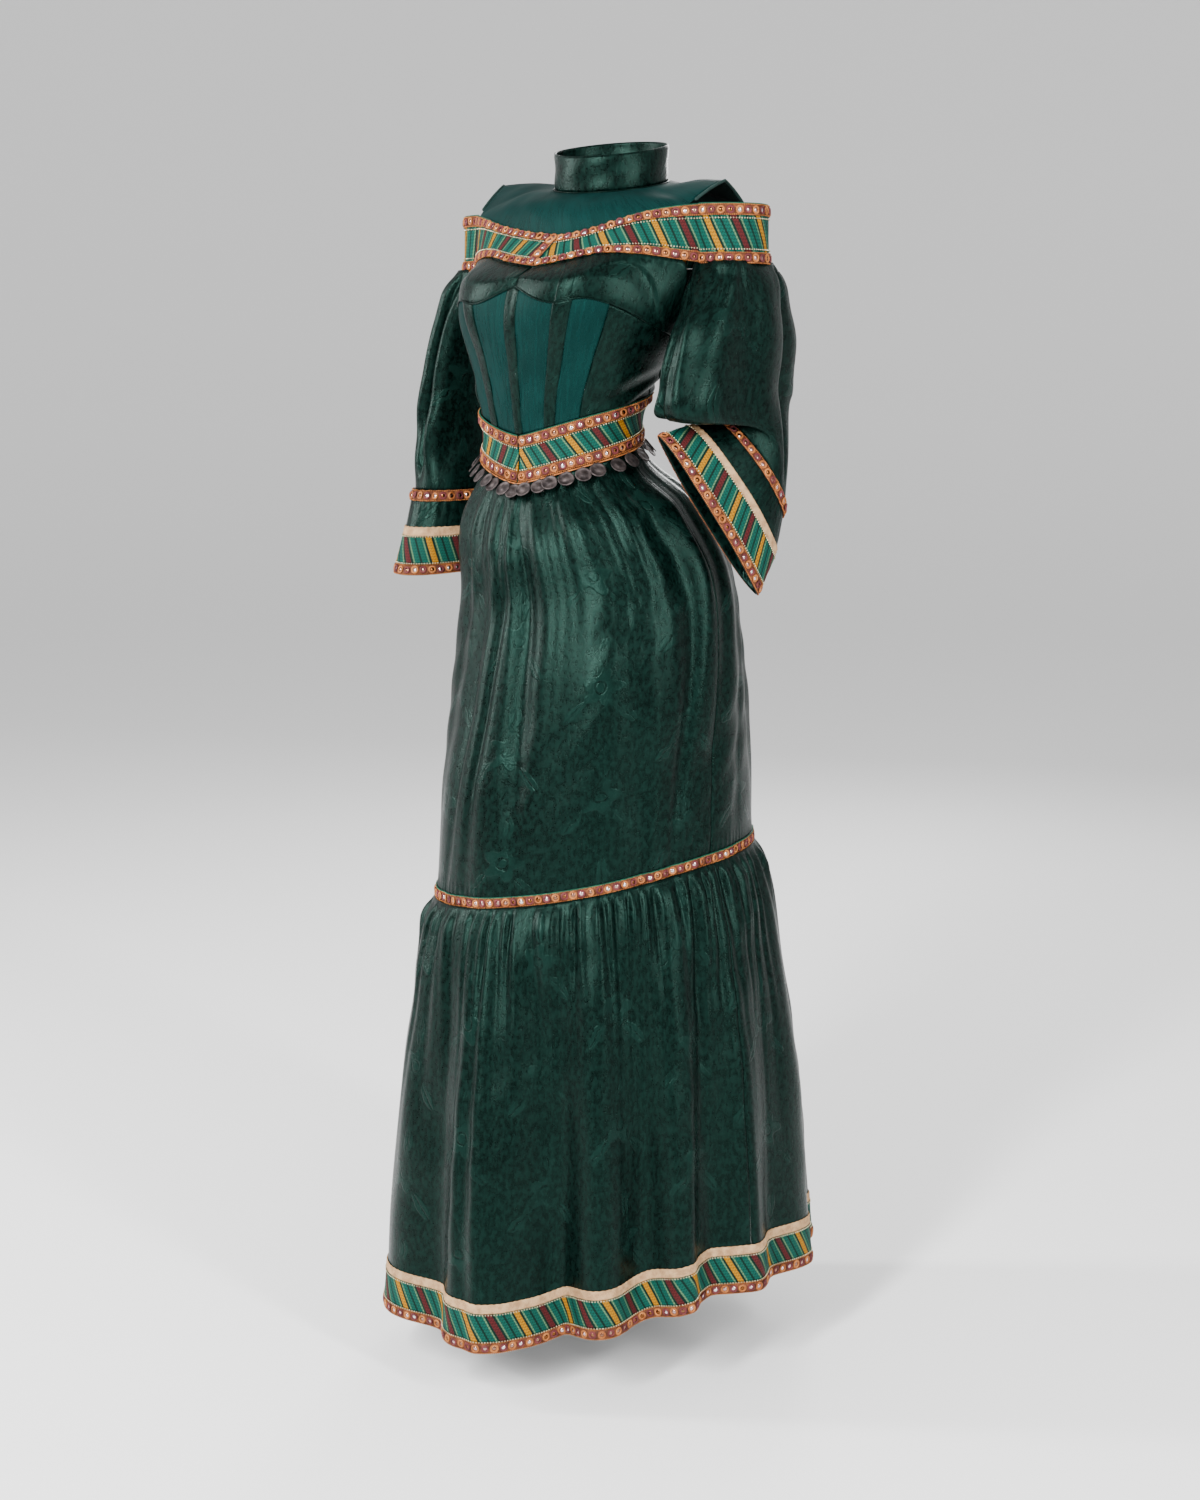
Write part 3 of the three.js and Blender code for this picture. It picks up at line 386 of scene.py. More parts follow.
def band_point(side, share, across):
    share, across = np.broadcast_arrays(np.asarray(share, float), np.asarray(across, float))
    slant = mix(BAND_CROSS_TOP, BAND_CROSS_BOTTOM, across) * (1 - smooth(share / 0.3))
    top_x, top_y, key, is_back = band_plan(share, BAND["chest_top"])
    bottom_x, bottom_y, _, _ = band_plan(share, BAND["chest_bottom"])
    edges = row_at(BAND_FRONT_EDGES, key)
    blend = np.where(is_back, smooth((share - BAND_ARM_END) / BAND_BACK_BLEND), 0)
    z_top = mix(edges[..., 1], BAND_BACK_TOP, blend)
    z_bottom = mix(edges[..., 2], BAND_BACK_BOTTOM, blend)
    x = (side * mix(top_x, bottom_x, across) + slant) * (1 + BAND_FLARE * across)
    return np.stack([x, mix(top_y, bottom_y, across), mix(z_top, z_bottom, across)], -1)


def band_foot(angle):
    """Points just under the band's lower edge, in directions from the middle of the chest."""
    local = wrap_angle(angle)
    side = np.where(local < 0, -1.0, 1.0)
    low = np.zeros_like(local)
    high = np.ones_like(local)
    for _ in range(24):
        middle = (low + high) / 2
        point = band_point(side, middle, 1.0)
        across = side * (point[..., 0] - BAND_FOOT_CENTRE[0])
        direction = np.degrees(np.arctan2(across, BAND_FOOT_CENTRE[1] - point[..., 1]))
        is_before = direction < np.abs(local)
        low = np.where(is_before, middle, low)
        high = np.where(is_before, high, middle)
    return band_point(side, low, 1.0) - UP * BAND_SEAT


def collar_base(angle):
    return COLLAR["base"] - COLLAR["tilt"] * np.cos(np.radians(angle - COLLAR["low_at"]))


def band_top_inside(side, x):
    reach = np.abs(x) / BAND["arm_x"]
    share = BAND_FRONT_END * reach if side < 0 else 1 - (1 - BAND_ARM_END) * reach
    edge = band_point(np.where(x < 0, -1.0, 1.0), share, 0.0)
    return edge + np.array([0, -side * YOKE_SEAT, YOKE_SEAT])


def yoke_edge(side, q):
    share = np.abs(q)
    sign = np.where(q < 0, -1.0, 1.0)
    band_share = 1 - BINDING_SHARE
    on_band = band_top_inside(side, sign * YOKE_FOOT_X * np.minimum(share / band_share, 1))
    t = np.clip((share - band_share) / BINDING_SHARE, 0, 1)[..., None]
    top = np.where(sign[..., None] > 0, np.array(SHOULDER_LEFT), np.array(SHOULDER_RIGHT))
    point = mix(on_band, top, t)
    point[..., 2] += (10 * t * (1 - t))[..., 0]
    return point


def yoke_point(side, q, across):
    q, across = np.broadcast_arrays(np.asarray(q, float), np.asarray(across, float))
    angle = 90 * q if side < 0 else 180 - 90 * q
    inner = around(0, 0, COLLAR["radius"], angle, collar_base(angle) - 1.5)
    point = mix(inner, yoke_edge(side, q), across[..., None])
    rise = 4 * across * (1 - across)
    point[..., 2] += rise * mix(*YOKE_PUFF["rise"], q * q)
    point[..., 1] += side * rise * mix(*YOKE_PUFF["out"], q * q)
    return point


def unit(vectors):
    return vectors / (np.linalg.norm(vectors, axis=-1, keepdims=True) + SMALL)


def circle(count):
    return np.arange(count) * 2 * np.pi / count


def closed(points, wraps):
    return np.concatenate([points, points[:1]]) if wraps else points


def slope(points, wraps):
    """Direction of the first axis at each point, from its two neighbours."""
    return np.roll(points, -1, 0) - np.roll(points, 1, 0) if wraps else np.gradient(points, axis=0)


def run_lengths(points, axis=0):
    """Distance run along one axis of a line or grid of points, a mean over the other axis."""
    steps = np.linalg.norm(np.diff(points, axis=axis), axis=-1)
    if steps.ndim > 1:
        steps = steps.mean(1 - axis)
    return np.concatenate([[0], np.cumsum(steps)])


def grid_normals(points, wraps=False, flip=False, level=False):
    """Unit normals of a grid of points, pointing away from the wearer."""
    along_u = slope(points, wraps)
    along_v = np.gradient(points, axis=1)
    normal = np.cross(along_u, along_v) if flip else np.cross(along_v, along_u)
    if level:
        normal[..., 2] = 0
    return unit(normal)


def level_normals(points, below, wraps=True):
    """Level unit normals along a line of points, from a second line below it."""
    return grid_normals(np.stack([points, below], 1), wraps=wraps, level=True)[:, 0]


def grid_quads(nu, nv, wraps_u=False, wraps_v=False):
    """Column and row of each cell of a grid, and the four points round it."""
    spans = (nu if wraps_u else nu - 1, nv if wraps_v else nv - 1)
    i, j = np.indices(spans).reshape(2, -1)
    k, m = (i + 1) % nu, (j + 1) % nv
    return i, j, np.stack([i * nv + j, i * nv + m, k * nv + m, k * nv + j], -1)


def link(obj):
    bpy.context.scene.collection.objects.link(obj)
    return obj


def mesh_object(name, verts, faces, material, uvs=None, tones=None):
    """One mesh from arrays: verts in metres, quads or triangles, one uv for each corner."""
    mesh = bpy.data.meshes.new(name)
    size = faces.shape[1]
    mesh.vertices.add(len(verts))
    mesh.vertices.foreach_set("co", np.ascontiguousarray(verts, np.float32).ravel())
    mesh.loops.add(faces.size)
    mesh.loops.foreach_set("vertex_index", np.ascontiguousarray(faces, np.int32).ravel())
    mesh.polygons.add(len(faces))
    mesh.polygons.foreach_set("loop_start", np.arange(0, faces.size, size, dtype=np.int32))
    mesh.update(calc_edges=True)
    if uvs is not None:
        layer = mesh.uv_layers.new(name="cloth")
        layer.data.foreach_set("uv", np.ascontiguousarray(uvs, np.float32).ravel())
    if tones is not None:
        layer = mesh.attributes.new("tone", "FLOAT", "POINT")
        layer.data.foreach_set("value", np.ascontiguousarray(tones, np.float32).ravel())
    mesh.polygons.foreach_set("use_smooth", np.ones(len(faces), bool))
    mesh.materials.append(material)
    mesh.validate()
    return link(bpy.data.objects.new(name, mesh))


def shell_object(name, points, normals, material, thickness, lift, options, uv=None):
    """A closed thin sheet of cloth over a grid: an outer face, an inner face and the rims between."""
    wraps = options.get("wraps", False)
    turn = -1 if options.get("flip", False) else 1
    nu, nv = points.shape[:2]
    count = nu * nv
    outer = (points + normals * (lift + thickness)).reshape(-1, 3)
    inner = (points + normals * lift).reshape(-1, 3)
    i, j, quads = grid_quads(nu, nv, wraps)
    if uv is None:
        across = run_lengths(closed(points, wraps)) * MM
        down = run_lengths(points, 1) * MM
        uv = np.stack(np.meshgrid(across, down, indexing="ij"), -1)
    corners = np.stack([uv[i, j], uv[i, j + 1], uv[i + 1, j + 1], uv[i + 1, j]], 1)
    faces = [quads, quads[:, ::-1] + count]
    maps = [corners, corners[:, ::-1]]

    def add_rim(first, second, near, far, step):
        faces.append(np.stack([first, second, second + count, first + count], -1)[:, ::step])
        maps.append(np.stack([near, far, far, near], 1)[:, ::step])

    a = np.arange(nu if wraps else nu - 1)
    for row, step in ((0, 1), (nv - 1, -1)):
        add_rim(a * nv + row, (a + 1) % nu * nv + row, uv[a, row], uv[a + 1, row], step)
    if not wraps:
        a = np.arange(nv - 1)
        for column, step in ((0, 1), (nu - 1, -1)):
            at = column * nv + a
            add_rim(at + 1, at, uv[column, a + 1], uv[column, a], step)
    faces = np.concatenate(faces)[:, ::turn]
    maps = np.concatenate(maps)[:, ::turn]
    return mesh_object(name, np.concatenate([outer, inner]) * MM, faces, material, maps)


def finish_piece(obj, nodes=()):
    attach(obj, "root")
    if nodes:
        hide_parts(*nodes)


# Materials
class Field:
    """A number worked out by shader nodes, so that patterns read as formulas."""

    def __init__(self, tree, socket):
        self.tree = tree
        self.socket = socket

    def op(self, operation, *others):
        node = self.tree.nodes.new("ShaderNodeMath")
        node.operation = operation
        for socket, value in zip(node.inputs, (self, *others)):
            if isinstance(value, Field):
                self.tree.links.new(value.socket, socket)
            else:
                socket.default_value = value
        return Field(self.tree, node.outputs[0])

    def __add__(self, other):
        return self.op("ADD", other)

    def __sub__(self, other):
        return self.op("SUBTRACT", other)

    def __mul__(self, other):
        return self.op("MULTIPLY", other)

    def __truediv__(self, other):
        return self.op("DIVIDE", other)

    def step(self, low, high):
        """0 below low and 1 above high, smooth between."""
        node = self.tree.nodes.new("ShaderNodeMapRange")
        node.interpolation_type = "SMOOTHSTEP"
        self.tree.links.new(self.socket, node.inputs["Value"])
        node.inputs["From Min"].default_value = low
        node.inputs["From Max"].default_value = high
        return Field(self.tree, node.outputs[0])


class Shader:
    """One Principled material with helpers for its node tree."""

    def __init__(self, name, **constants):
        self.material = bpy.data.materials.new(name)
        self.material.use_nodes = True
        self.tree = self.material.node_tree
        self.principled = self.tree.nodes["Principled BSDF"]
        for socket, value in constants.items():
            self.principled.inputs[socket.replace("_", " ")].default_value = value

    def new(self, kind, **constants):
        node = self.tree.nodes.new(kind)
        for socket, value in constants.items():
            node.inputs[socket].default_value = value
        return node

    def join(self, output, socket):
        self.tree.links.new(output, socket)

    def coords(self):
        """Cloth coordinates across and down, in metres."""
        node = self.new("ShaderNodeUVMap")
        node.uv_map = "cloth"
        split = self.new("ShaderNodeSeparateXYZ")
        self.join(node.outputs[0], split.inputs[0])
        return Field(self.tree, split.outputs[0]), Field(self.tree, split.outputs[1]), node.outputs[0]

    def noise(self, scale, detail, vector=None, stretch=(1, 1, 1), roughness=0.5):
        node = self.new("ShaderNodeTexNoise", Scale=scale, Detail=detail, Roughness=roughness)
        if vector is None:
            self.join(self.new("ShaderNodeTexCoord").outputs["Object"], node.inputs["Vector"])
        else:
            mapping = self.new("ShaderNodeMapping", Scale=stretch)
            self.join(vector, mapping.inputs[0])
            self.join(mapping.outputs[0], node.inputs["Vector"])
        return Field(self.tree, node.outputs["Fac"])

    def ramp(self, field, stops, is_sharp=False):
        node = self.new("ShaderNodeValToRGB")
        node.color_ramp.interpolation = "CONSTANT" if is_sharp else "LINEAR"
        elements = node.color_ramp.elements
        while len(elements) < len(stops):
            elements.new(0.5)
        for element, (position, colour) in zip(elements, stops):
            element.position = position
            element.color = (*colour, 1.0)
        self.join(field.socket, node.inputs[0])
        return node.outputs[0]

    def blend(self, field, a, b, mode="MIX"):
        node = self.new("ShaderNodeMix")
        node.data_type = "RGBA"
        node.blend_type = mode
        for value, socket in ((field, 0), (a, 6), (b, 7)):
            self.fill(node.inputs[socket], value)
        return node.outputs[2]

    def fill(self, socket, value):
        if isinstance(value, Field):
            self.join(value.socket, socket)
        elif isinstance(value, tuple):
            socket.default_value = (*value, 1.0)
        elif isinstance(value, float):
            socket.default_value = value
        else:
            self.join(value, socket)

    def set(self, name, value):
        self.fill(self.principled.inputs[name], value)

    def bump(self, field, distance, strength):
        node = self.new("ShaderNodeBump", Distance=distance, Strength=strength)
        self.join(field.socket, node.inputs["Height"])
        self.join(node.outputs[0], self.principled.inputs["Normal"])


# Cloth colours, linear
SATIN_DARK = (0.0003, 0.0015, 0.0012)
SATIN_MIDDLE = (0.0006, 0.0030, 0.0023)
# pale tone of the woven blossoms, also used for the painted glint specks of the crushed satin
SATIN_MOTIF_AND_GLINT = (0.0030, 0.0125, 0.0098)
SATIN_SHINE = (0.42, 0.90, 0.74, 1.0)
SHEER_DARK = (0.0007, 0.0100, 0.0094)
SHEER_LIGHT = (0.0014, 0.0185, 0.0172)
EMERALD = (0.0001, 0.050, 0.036)
PALE = (0.060, 0.130, 0.065)
GROUND = (0.0006, 0.012, 0.008)
YELLOW = (0.27, 0.115, 0.002)
MAROON = (0.055, 0.0075, 0.008)
# painted shade and painted highlight that scale the ribbon's stripe colours
RIBBON_SHADE = (0.28, 0.28, 0.28)
RIBBON_PAINTED_HIGHLIGHT = (1.45, 1.45, 1.45)

# Blossoms of the satin in metres: one repeat, the flower, and its leaves by place and lean
MOTIF = {"width": 0.105, "height": 0.135, "petal": 0.019, "wave": 0.005, "heart": 0.0065}
LEAF = {"half_length": 0.017, "half_width": 0.0065}
LEAVES = ((0.026, 0.034, 0.9), (-0.030, 0.026, 2.3), (0.004, -0.042, 1.6))


def floral_motif(shader, u, v):
    """Generic blossoms with leaves in half-drop rows, a blurred jacquard figure from 0 to 1."""
    _, _, vector = shader.coords()
    width, height = MOTIF["width"], MOTIF["height"]
    wobble = shader.noise(55, 2, vector) - 0.5
    drop = ((u / width).op("FLOOR") * 0.5).op("FRACT") * height
    x = ((u / width).op("FRACT") - 0.5) * width + wobble * 0.012
    y = (((v + drop) / height).op("FRACT") - 0.5) * height + wobble * 0.010
    radius = (x * x + y * y).op("SQRT")
    petals = (y.op("ARCTAN2", x) * 5).op("COSINE") * MOTIF["wave"] + MOTIF["petal"]
    ring = (radius - MOTIF["heart"]).op("ABSOLUTE").step(0.0008, 0.0018)
    figure = (petals - radius).step(-0.0015, 0.0015) * ring
    for dx, dy, lean in LEAVES:
        lx, ly = x - dx, y - dy
        cos, sin = float(np.cos(lean)), float(np.sin(lean))
        along = (lx * cos + ly * sin) / LEAF["half_length"]
        side = ly * cos - lx * sin
        across = side / LEAF["half_width"]
        far = (along * along + across * across).op("SQRT")
        vein = side.op("ABSOLUTE").step(0.0005, 0.0013)
        figure = figure.op("MAXIMUM", (far * -1 + 1).step(-0.08, 0.08) * vein)
    return figure * shader.noise(26, 3, vector).step(0.36, 0.62)


def make_satin():
    shader = Shader("satin", Anisotropic=0.35, Specular_Tint=SATIN_SHINE, Specular_IOR_Level=0.115)
    u, v, vector = shader.coords()
    motif = floral_motif(shader, u, v)
    mottle = shader.noise(9, 4, vector).step(0.3, 0.75)
    crush = shader.noise(190, 3, vector, (1, 0.5, 1), 0.8)
    slub = shader.noise(90, 3, vector, (1, 14, 1), 0.7)
    base = shader.blend(mottle, SATIN_DARK, SATIN_MIDDLE)
    # lighter specks where the crush noise is high: painted glints of the crushed satin, not a tone of the
    # cloth
    glint_speckled = shader.blend(crush.step(0.42, 0.62) * 0.55, base, SATIN_MOTIF_AND_GLINT)
    shader.set("Base Color", shader.blend(motif * 0.7, glint_speckled, SATIN_MOTIF_AND_GLINT))
    shader.set("Roughness", crush * 0.20 + slub * 0.08 + motif * -0.06 + 0.15)
    shader.bump(crush * 0.9 + motif * 0.6 + slub * 0.4, 0.0010, 0.5)
    return shader.material


def make_mesh_cloth():
    shader = Shader("sheer", Roughness=0.6, Specular_Tint=SATIN_SHINE, Specular_IOR_Level=0.08)
    _, _, vector = shader.coords()
    threads = shader.noise(260, 2, vector, (1, 0.12, 1), 0.6)
    cloud = shader.noise(16, 3, vector, (1, 0.5, 1))
    shade = cloud * 0.6 + threads * 0.4
    shader.set("Base Color", shader.blend(shade.step(0.3, 0.7), SHEER_DARK, SHEER_LIGHT))
    shader.set("Alpha", threads * 0.12 + 0.89)
    shader.bump(threads, 0.0003, 0.3)
    return shader.material


# Stripes of the embroidered ribbon, as shares of one repeat: start, colour, height in mm
PERIOD = 65.0
STRIPES = [
    (0.00, YELLOW, 0.55),
    (0.105, GROUND, 0.0),
    (0.15, PALE, 0.25),
    (0.18, EMERALD, 0.40),
    (0.28, GROUND, 0.1),
    (0.32, EMERALD, 0.40),
    (0.425, PALE, 0.25),
    (0.455, GROUND, 0.0),
    (0.50, MAROON, 0.55),
    (0.605, GROUND, 0.0),
    (0.65, PALE, 0.25),
    (0.68, EMERALD, 0.40),
    (0.78, GROUND, 0.1),
    (0.82, EMERALD, 0.40),
    (0.925, PALE, 0.25),
    (0.955, GROUND, 0.0),
]


def from_middle(field):
    """Distance from the middle of each step of a field, 0 to 0.5."""
    return (field.op("FRACT") - 0.5).op("ABSOLUTE")


def make_ribbon():
    shader = Shader("ribbon", Roughness=0.62, Specular_IOR_Level=0.1)
    u, v, vector = shader.coords()
    stops = [(start, colour) for start, colour, _ in STRIPES]
    stripe = shader.ramp(u.op("FRACT"), stops, is_sharp=True)
    chain = from_middle(u * 26) + from_middle(v * 900)
    threads = shader.noise(14, 2, vector, (6, 500, 1), 0.8)
    zigzag = from_middle(v * 290 + (u * 19).op("PINGPONG", 0.5)).step(0.08, 0.3)
    # partly a random tone of the threads, partly painted shade and painted highlights on the stitch zigzags
    shade = shader.blend(threads.step(0.3, 0.7) * 0.5 + zigzag * 0.5, RIBBON_SHADE, RIBBON_PAINTED_HIGHLIGHT)
    shader.set("Base Color", shader.blend(1.0, stripe, shade, "MULTIPLY"))
    shader.bump(chain * 0.5 + threads, 0.0006, 0.8)
    return shader.material


def make_thread(name, dark, light, roughness=0.5):
    shader = Shader(name, Roughness=roughness, Specular_IOR_Level=0.18)
    fine = shader.noise(1400, 2)
    patch = shader.noise(120, 2)
    shader.set("Base Color", shader.blend((fine + patch).step(0.75, 1.25), dark, light))
    shader.bump(fine, 0.0005, 0.8)
    return shader.material


# Mirrors from silvery to brown: share, colour
MIRROR_TONES = [
    (0.0, (0.66, 0.60, 0.60)),
    (0.3, (0.52, 0.36, 0.36)),
    (0.55, (0.28, 0.15, 0.11)),
    (0.85, (0.15, 0.055, 0.018)),
]


def make_mirror():
    shader = Shader("mirror", Metallic=1.0, Roughness=0.09)
    node = shader.new("ShaderNodeAttribute")
    node.attribute_name = "tone"
    tone = Field(shader.tree, node.outputs["Fac"])
    shader.set("Base Color", shader.ramp(tone, MIRROR_TONES))
    shader.bump(shader.noise(300, 1), 0.0003, 0.25)
    return shader.material


def make_metal(name, dark, light, roughness, scale):
    shader = Shader(name, Metallic=0.85)
    patch = shader.noise(scale, 4)
    shader.set("Base Color", shader.blend(patch.step(0.35, 0.7), dark, light))
    shader.set("Roughness", patch * 0.2 + roughness)
    shader.bump(patch, 0.0003, 0.4)
    return shader.material


SATIN = make_satin()
SHEER = make_mesh_cloth()
RIBBON_CLOTH = make_ribbon()
COPPER = make_thread("copper_thread", (0.19, 0.050, 0.012), (0.42, 0.155, 0.042))
PLUM = make_thread("plum_thread", (0.055, 0.010, 0.012), (0.14, 0.028, 0.030))
TAPE_CLOTH = make_thread("tape_cloth", (0.050, 0.016, 0.008), (0.17, 0.052, 0.020), 0.7)
TAN = make_thread("tan_thread", (0.25, 0.14, 0.068), (0.44, 0.28, 0.145), 0.7)
PIPING = make_thread("piping_thread", (0.001, 0.032, 0.018), (0.003, 0.070, 0.038), 0.6)
DARK_BINDING = make_thread("binding_cloth", (0.004, 0.014, 0.012), (0.010, 0.030, 0.026), 0.6)
MIRROR = make_mirror()
BEAD_METAL = make_metal("bead_metal", (0.42, 0.36, 0.22), (0.80, 0.74, 0.52), 0.25, 500)
COIN_METAL = make_metal("coin_metal", (0.030, 0.024, 0.024), (0.085, 0.068, 0.066), 0.42, 160)


# Trims
def strip_grid(surface, us, v0, v1, rows, **options):
    """Points and normals of a strip of a surface between two shares down."""
    points = surface(*np.meshgrid(us, np.linspace(v0, v1, rows), indexing="ij"))
    return points, grid_normals(points, **options)


def frames_along(points, normals, pitch, wraps):
    """Even places along a line of points, with the directions along, across and out at each."""
    points, normals = closed(points, wraps), closed(normals, wraps)
    length = run_lengths(points)
    count = max(int(round(length[-1] / pitch)), 2)
    at = (np.arange(count) + 0.5) * length[-1] / count
    here, ahead, behind, out = [
        np.stack([np.interp(at + shift, length, values[:, k]) for k in range(3)], -1)
        for values, shift in ((points, 0), (points, 0.5), (points, -0.5), (normals, 0))
    ]
    along = unit(ahead - behind)
    out = unit(out - along * (out * along).sum(-1, keepdims=True))
    return here, along, np.cross(out, along), out


def repeat_shape(name, shape, places, material, nodes=(), tones=None, turns=0.0, sizes=1.0):
    """Copies of one small shape at many places, as one mesh."""
    verts, faces = shape
    here, along, across, out = [part[:, None] for part in places]
    count = len(here)
    turns, sizes = [np.broadcast_to(value, count)[:, None] for value in (turns, sizes)]
    x = (verts[:, 0] * np.cos(turns) - verts[:, 1] * np.sin(turns)) * sizes
    y = (verts[:, 0] * np.sin(turns) + verts[:, 1] * np.cos(turns)) * sizes
    z = verts[:, 2] * sizes
    world = here + x[..., None] * along + y[..., None] * across + z[..., None] * out
    faces = (faces + np.arange(count)[:, None, None] * len(verts)).reshape(-1, faces.shape[1])
    spread = None if tones is None else np.repeat(tones, len(verts))
    obj = mesh_object(name, world.reshape(-1, 3) * MM, faces, material, tones=spread)
    finish_piece(obj, nodes)


def ring_shape(major, minor, segments=12, sides=4, flat=0.8):
    a, b = np.meshgrid(circle(segments), circle(sides), indexing="ij")
    radius = major + minor * np.cos(b)
    verts = np.stack([radius * np.cos(a), radius * np.sin(a), minor * flat * (1 + np.sin(b))], -1)
    quads = grid_quads(segments, sides, True, True)[2]
    return verts.reshape(-1, 3), quads[:, [0, 3, 2, 1]]


def turned_shape(profile, segments):
    """A closed turned form: profile rows are radius and height, from the axis below to the axis above."""
    rows = np.array(profile[1:-1], float)
    a = circle(segments)
    rings = np.stack([rows[:, :1] * np.cos(a), rows[:, :1] * np.sin(a), rows[:, 1:] + 0 * a], -1)
    verts = np.concatenate([rings.reshape(-1, 3), [[0, 0, profile[0][1]], [0, 0, profile[-1][1]]]])
    low, high = len(verts) - 2, len(verts) - 1
    j = np.arange(segments)
    k = (j + 1) % segments
    corners = []
    for first in range(0, low - segments, segments):
        second = first + segments
        corners += [(first + j, first + k, second + k), (first + j, second + k, second + j)]
    last = low - segments
    corners += [(k, j, low + 0 * j), (last + j, last + k, high + 0 * j)]
    return verts, np.concatenate([np.stack(corner, -1) for corner in corners])


CORD_ASIDE = np.array([0.02, 0.05, 1.0])
CORD_TIP = 0.01


def cord(name, points, radius, material, wraps=False, sides=6, nodes=()):
    """A round cord along a line of points, drawn to a tip at free ends."""
    along = unit(slope(points, wraps))
    side = unit(np.cross(along, CORD_ASIDE))
    up = np.cross(side, along)
    a = circle(sides)[:, None]
    girth = np.full((len(points), 1, 1), radius)
    if not wraps:
        girth[[0, -1]] = CORD_TIP
    ring = points[:, None] + girth * (np.cos(a) * side[:, None] + np.sin(a) * up[:, None])
    quads = grid_quads(len(points), sides, wraps, True)[2]
    finish_piece(mesh_object(name, ring.reshape(-1, 3) * MM, quads, material), nodes)


BEAD_PITCH = 3.4
STITCH_PITCH = 2.3
UNIT_PITCH = 11.0
RIBBON_ROWS = 9
RIBBON_WALL = 0.6
BRAID_ROWS = 7
BRAID_WALL = 0.5
BRAID_CORDS = 3
TAPE_WALL = 0.5
RING_COPPER = ring_shape(3.9, 1.3)
RING_PLUM = ring_shape(3.5, 1.4)
GLASS = turned_shape([(0, 0), (3.0, 0.5), (2.3, 1.25), (0, 1.45)], 10)
BEAD = turned_shape([(0, 0), (1.0, 0.9), (0, 1.8)], 6)
EDGE_STITCH = turned_shape([(0, 0), (1.05, 0.5), (0, 1.3)], 4)
COIN_SHAPE = turned_shape(COIN_PROFILE, 22)
COIN_LOOP = ring_shape(1.7, 0.45, 10, 5, 1.0)


def mirror_tape(name, surface, us, v0, v1, flat, nodes=None, lift=TRIM_LIFT, **options):
    """Trim tape with a row of ring-stitched mirrors, copper and plum in turn, and stitched edges."""
    points, normals = strip_grid(surface, us, v0, v1, 3, **options)
    wraps = options.get("wraps", False)
    base = shell_object(name, points, normals, TAPE_CLOTH, TAPE_WALL, lift, options)
    finish_piece(base, [name] if nodes is None else nodes)
    raised = lift + TAPE_WALL - 0.05
    middle = points[:, 1] + normals[:, 1] * raised
    here, along, across, out = frames_along(middle, normals[:, 1], UNIT_PITCH, wraps)
    count = len(here)
    here = here + across * RNG.normal(0, 0.22, (count, 1)) + along * RNG.normal(0, 0.2, (count, 1))
    turns = RNG.uniform(0, 6.28, count)
    sizes = RNG.uniform(0.94, 1.06, count)
    tones = RNG.uniform(0, 1, count)
    even = np.arange(count) % 2 == 0
    places = (here, along, across, out)
    rings = (("copper", RING_COPPER, even, COPPER), ("plum", RING_PLUM, ~even, PLUM))
    for label, shape, own, cloth in rings:
        chosen = [part[own] for part in places]
        repeat_shape(f"{name}_{label}", shape, chosen, cloth, (), None, turns[own], sizes[own])
    repeat_shape(f"{name}_glass", GLASS, places, MIRROR, (), tones, turns, sizes)
    for label, column in (("high", 0), ("low", 2)):
        edge = points[:, column] * 0.9 + points[:, 1] * 0.1 + normals[:, column] * raised
        places = frames_along(edge, normals[:, column], STITCH_PITCH, wraps)
        repeat_shape(f"{name}_stitch_{label}", EDGE_STITCH, places, COPPER)


def bead_row(name, points, normals, lift, wraps=False):
    places = frames_along(points + normals * lift, normals, BEAD_PITCH, wraps)
    repeat_shape(name, BEAD, places, BEAD_METAL)


def ribbon(
    name, surface, us, v0, v1, flat, slant, nodes=None, lift=TRIM_LIFT, phase=0.0, beads=True, **options
):
    """Embroidered ribbon: slanted raised stripes in a repeat, with a line of metal beads at each edge."""
    points, normals = strip_grid(surface, us, v0, v1, RIBBON_ROWS, **options)
    wraps = options.get("wraps", False)
    middle = points[:, RIBBON_ROWS // 2]
    length = run_lengths(closed(middle, wraps))
    down = np.linspace(0, run_lengths(points, 1)[-1], RIBBON_ROWS)
    period = length[-1] / max(round(length[-1] / PERIOD), 1) if wraps else PERIOD
    u = (length[:, None] + slant * down) / period + phase
    v = np.broadcast_to(down * MM, u.shape)
    starts, _, heights = zip(*STRIPES)
    relief = np.array(heights)[np.searchsorted(starts, u % 1, side="right") - 1]
    relief = relief[: len(points)] + 0.12 * np.sin(down * 5.2)
    raised = points + normals * relief[..., None]
    uv = np.stack([u, v], -1)
    obj = shell_object(name, raised, normals, RIBBON_CLOTH, RIBBON_WALL, lift, options, uv)
    finish_piece(obj, [name] if nodes is None else nodes)
    if beads:
        for label, column in (("high", 0), ("low", RIBBON_ROWS - 1)):
            edge = points[:, column] * 0.95 + middle * 0.05
            bead_row(f"{name}_beads_{label}", edge, normals[:, column], lift + 0.7, wraps)


def braid(name, surface, us, v0, v1, flat, **options):
    """Tan woven braid of three wavy cords."""
    points, normals = strip_grid(surface, us, v0, v1, BRAID_ROWS, **options)
    wraps = options.get("wraps", False)
    length = run_lengths(closed(points[:, BRAID_ROWS // 2], wraps))[: len(points), None]
    across = np.linspace(0, 1, BRAID_ROWS)
    cords = np.abs(np.sin(BRAID_CORDS * np.pi * across)) ** 0.6
    turn = length / 6.6 + 0.5 * np.floor(across * 2.999) + across
    relief = 0.95 * cords * (0.7 + 0.3 * np.sin(2 * np.pi * turn))
    wave = 0.35 * np.sin(2 * np.pi * length / 7.2)
    raised = points + normals * relief[..., None] + UP * wave[..., None]
    obj = shell_object(name, raised, normals, TAN, BRAID_WALL, TRIM_LIFT, options)
    finish_piece(obj, [name])


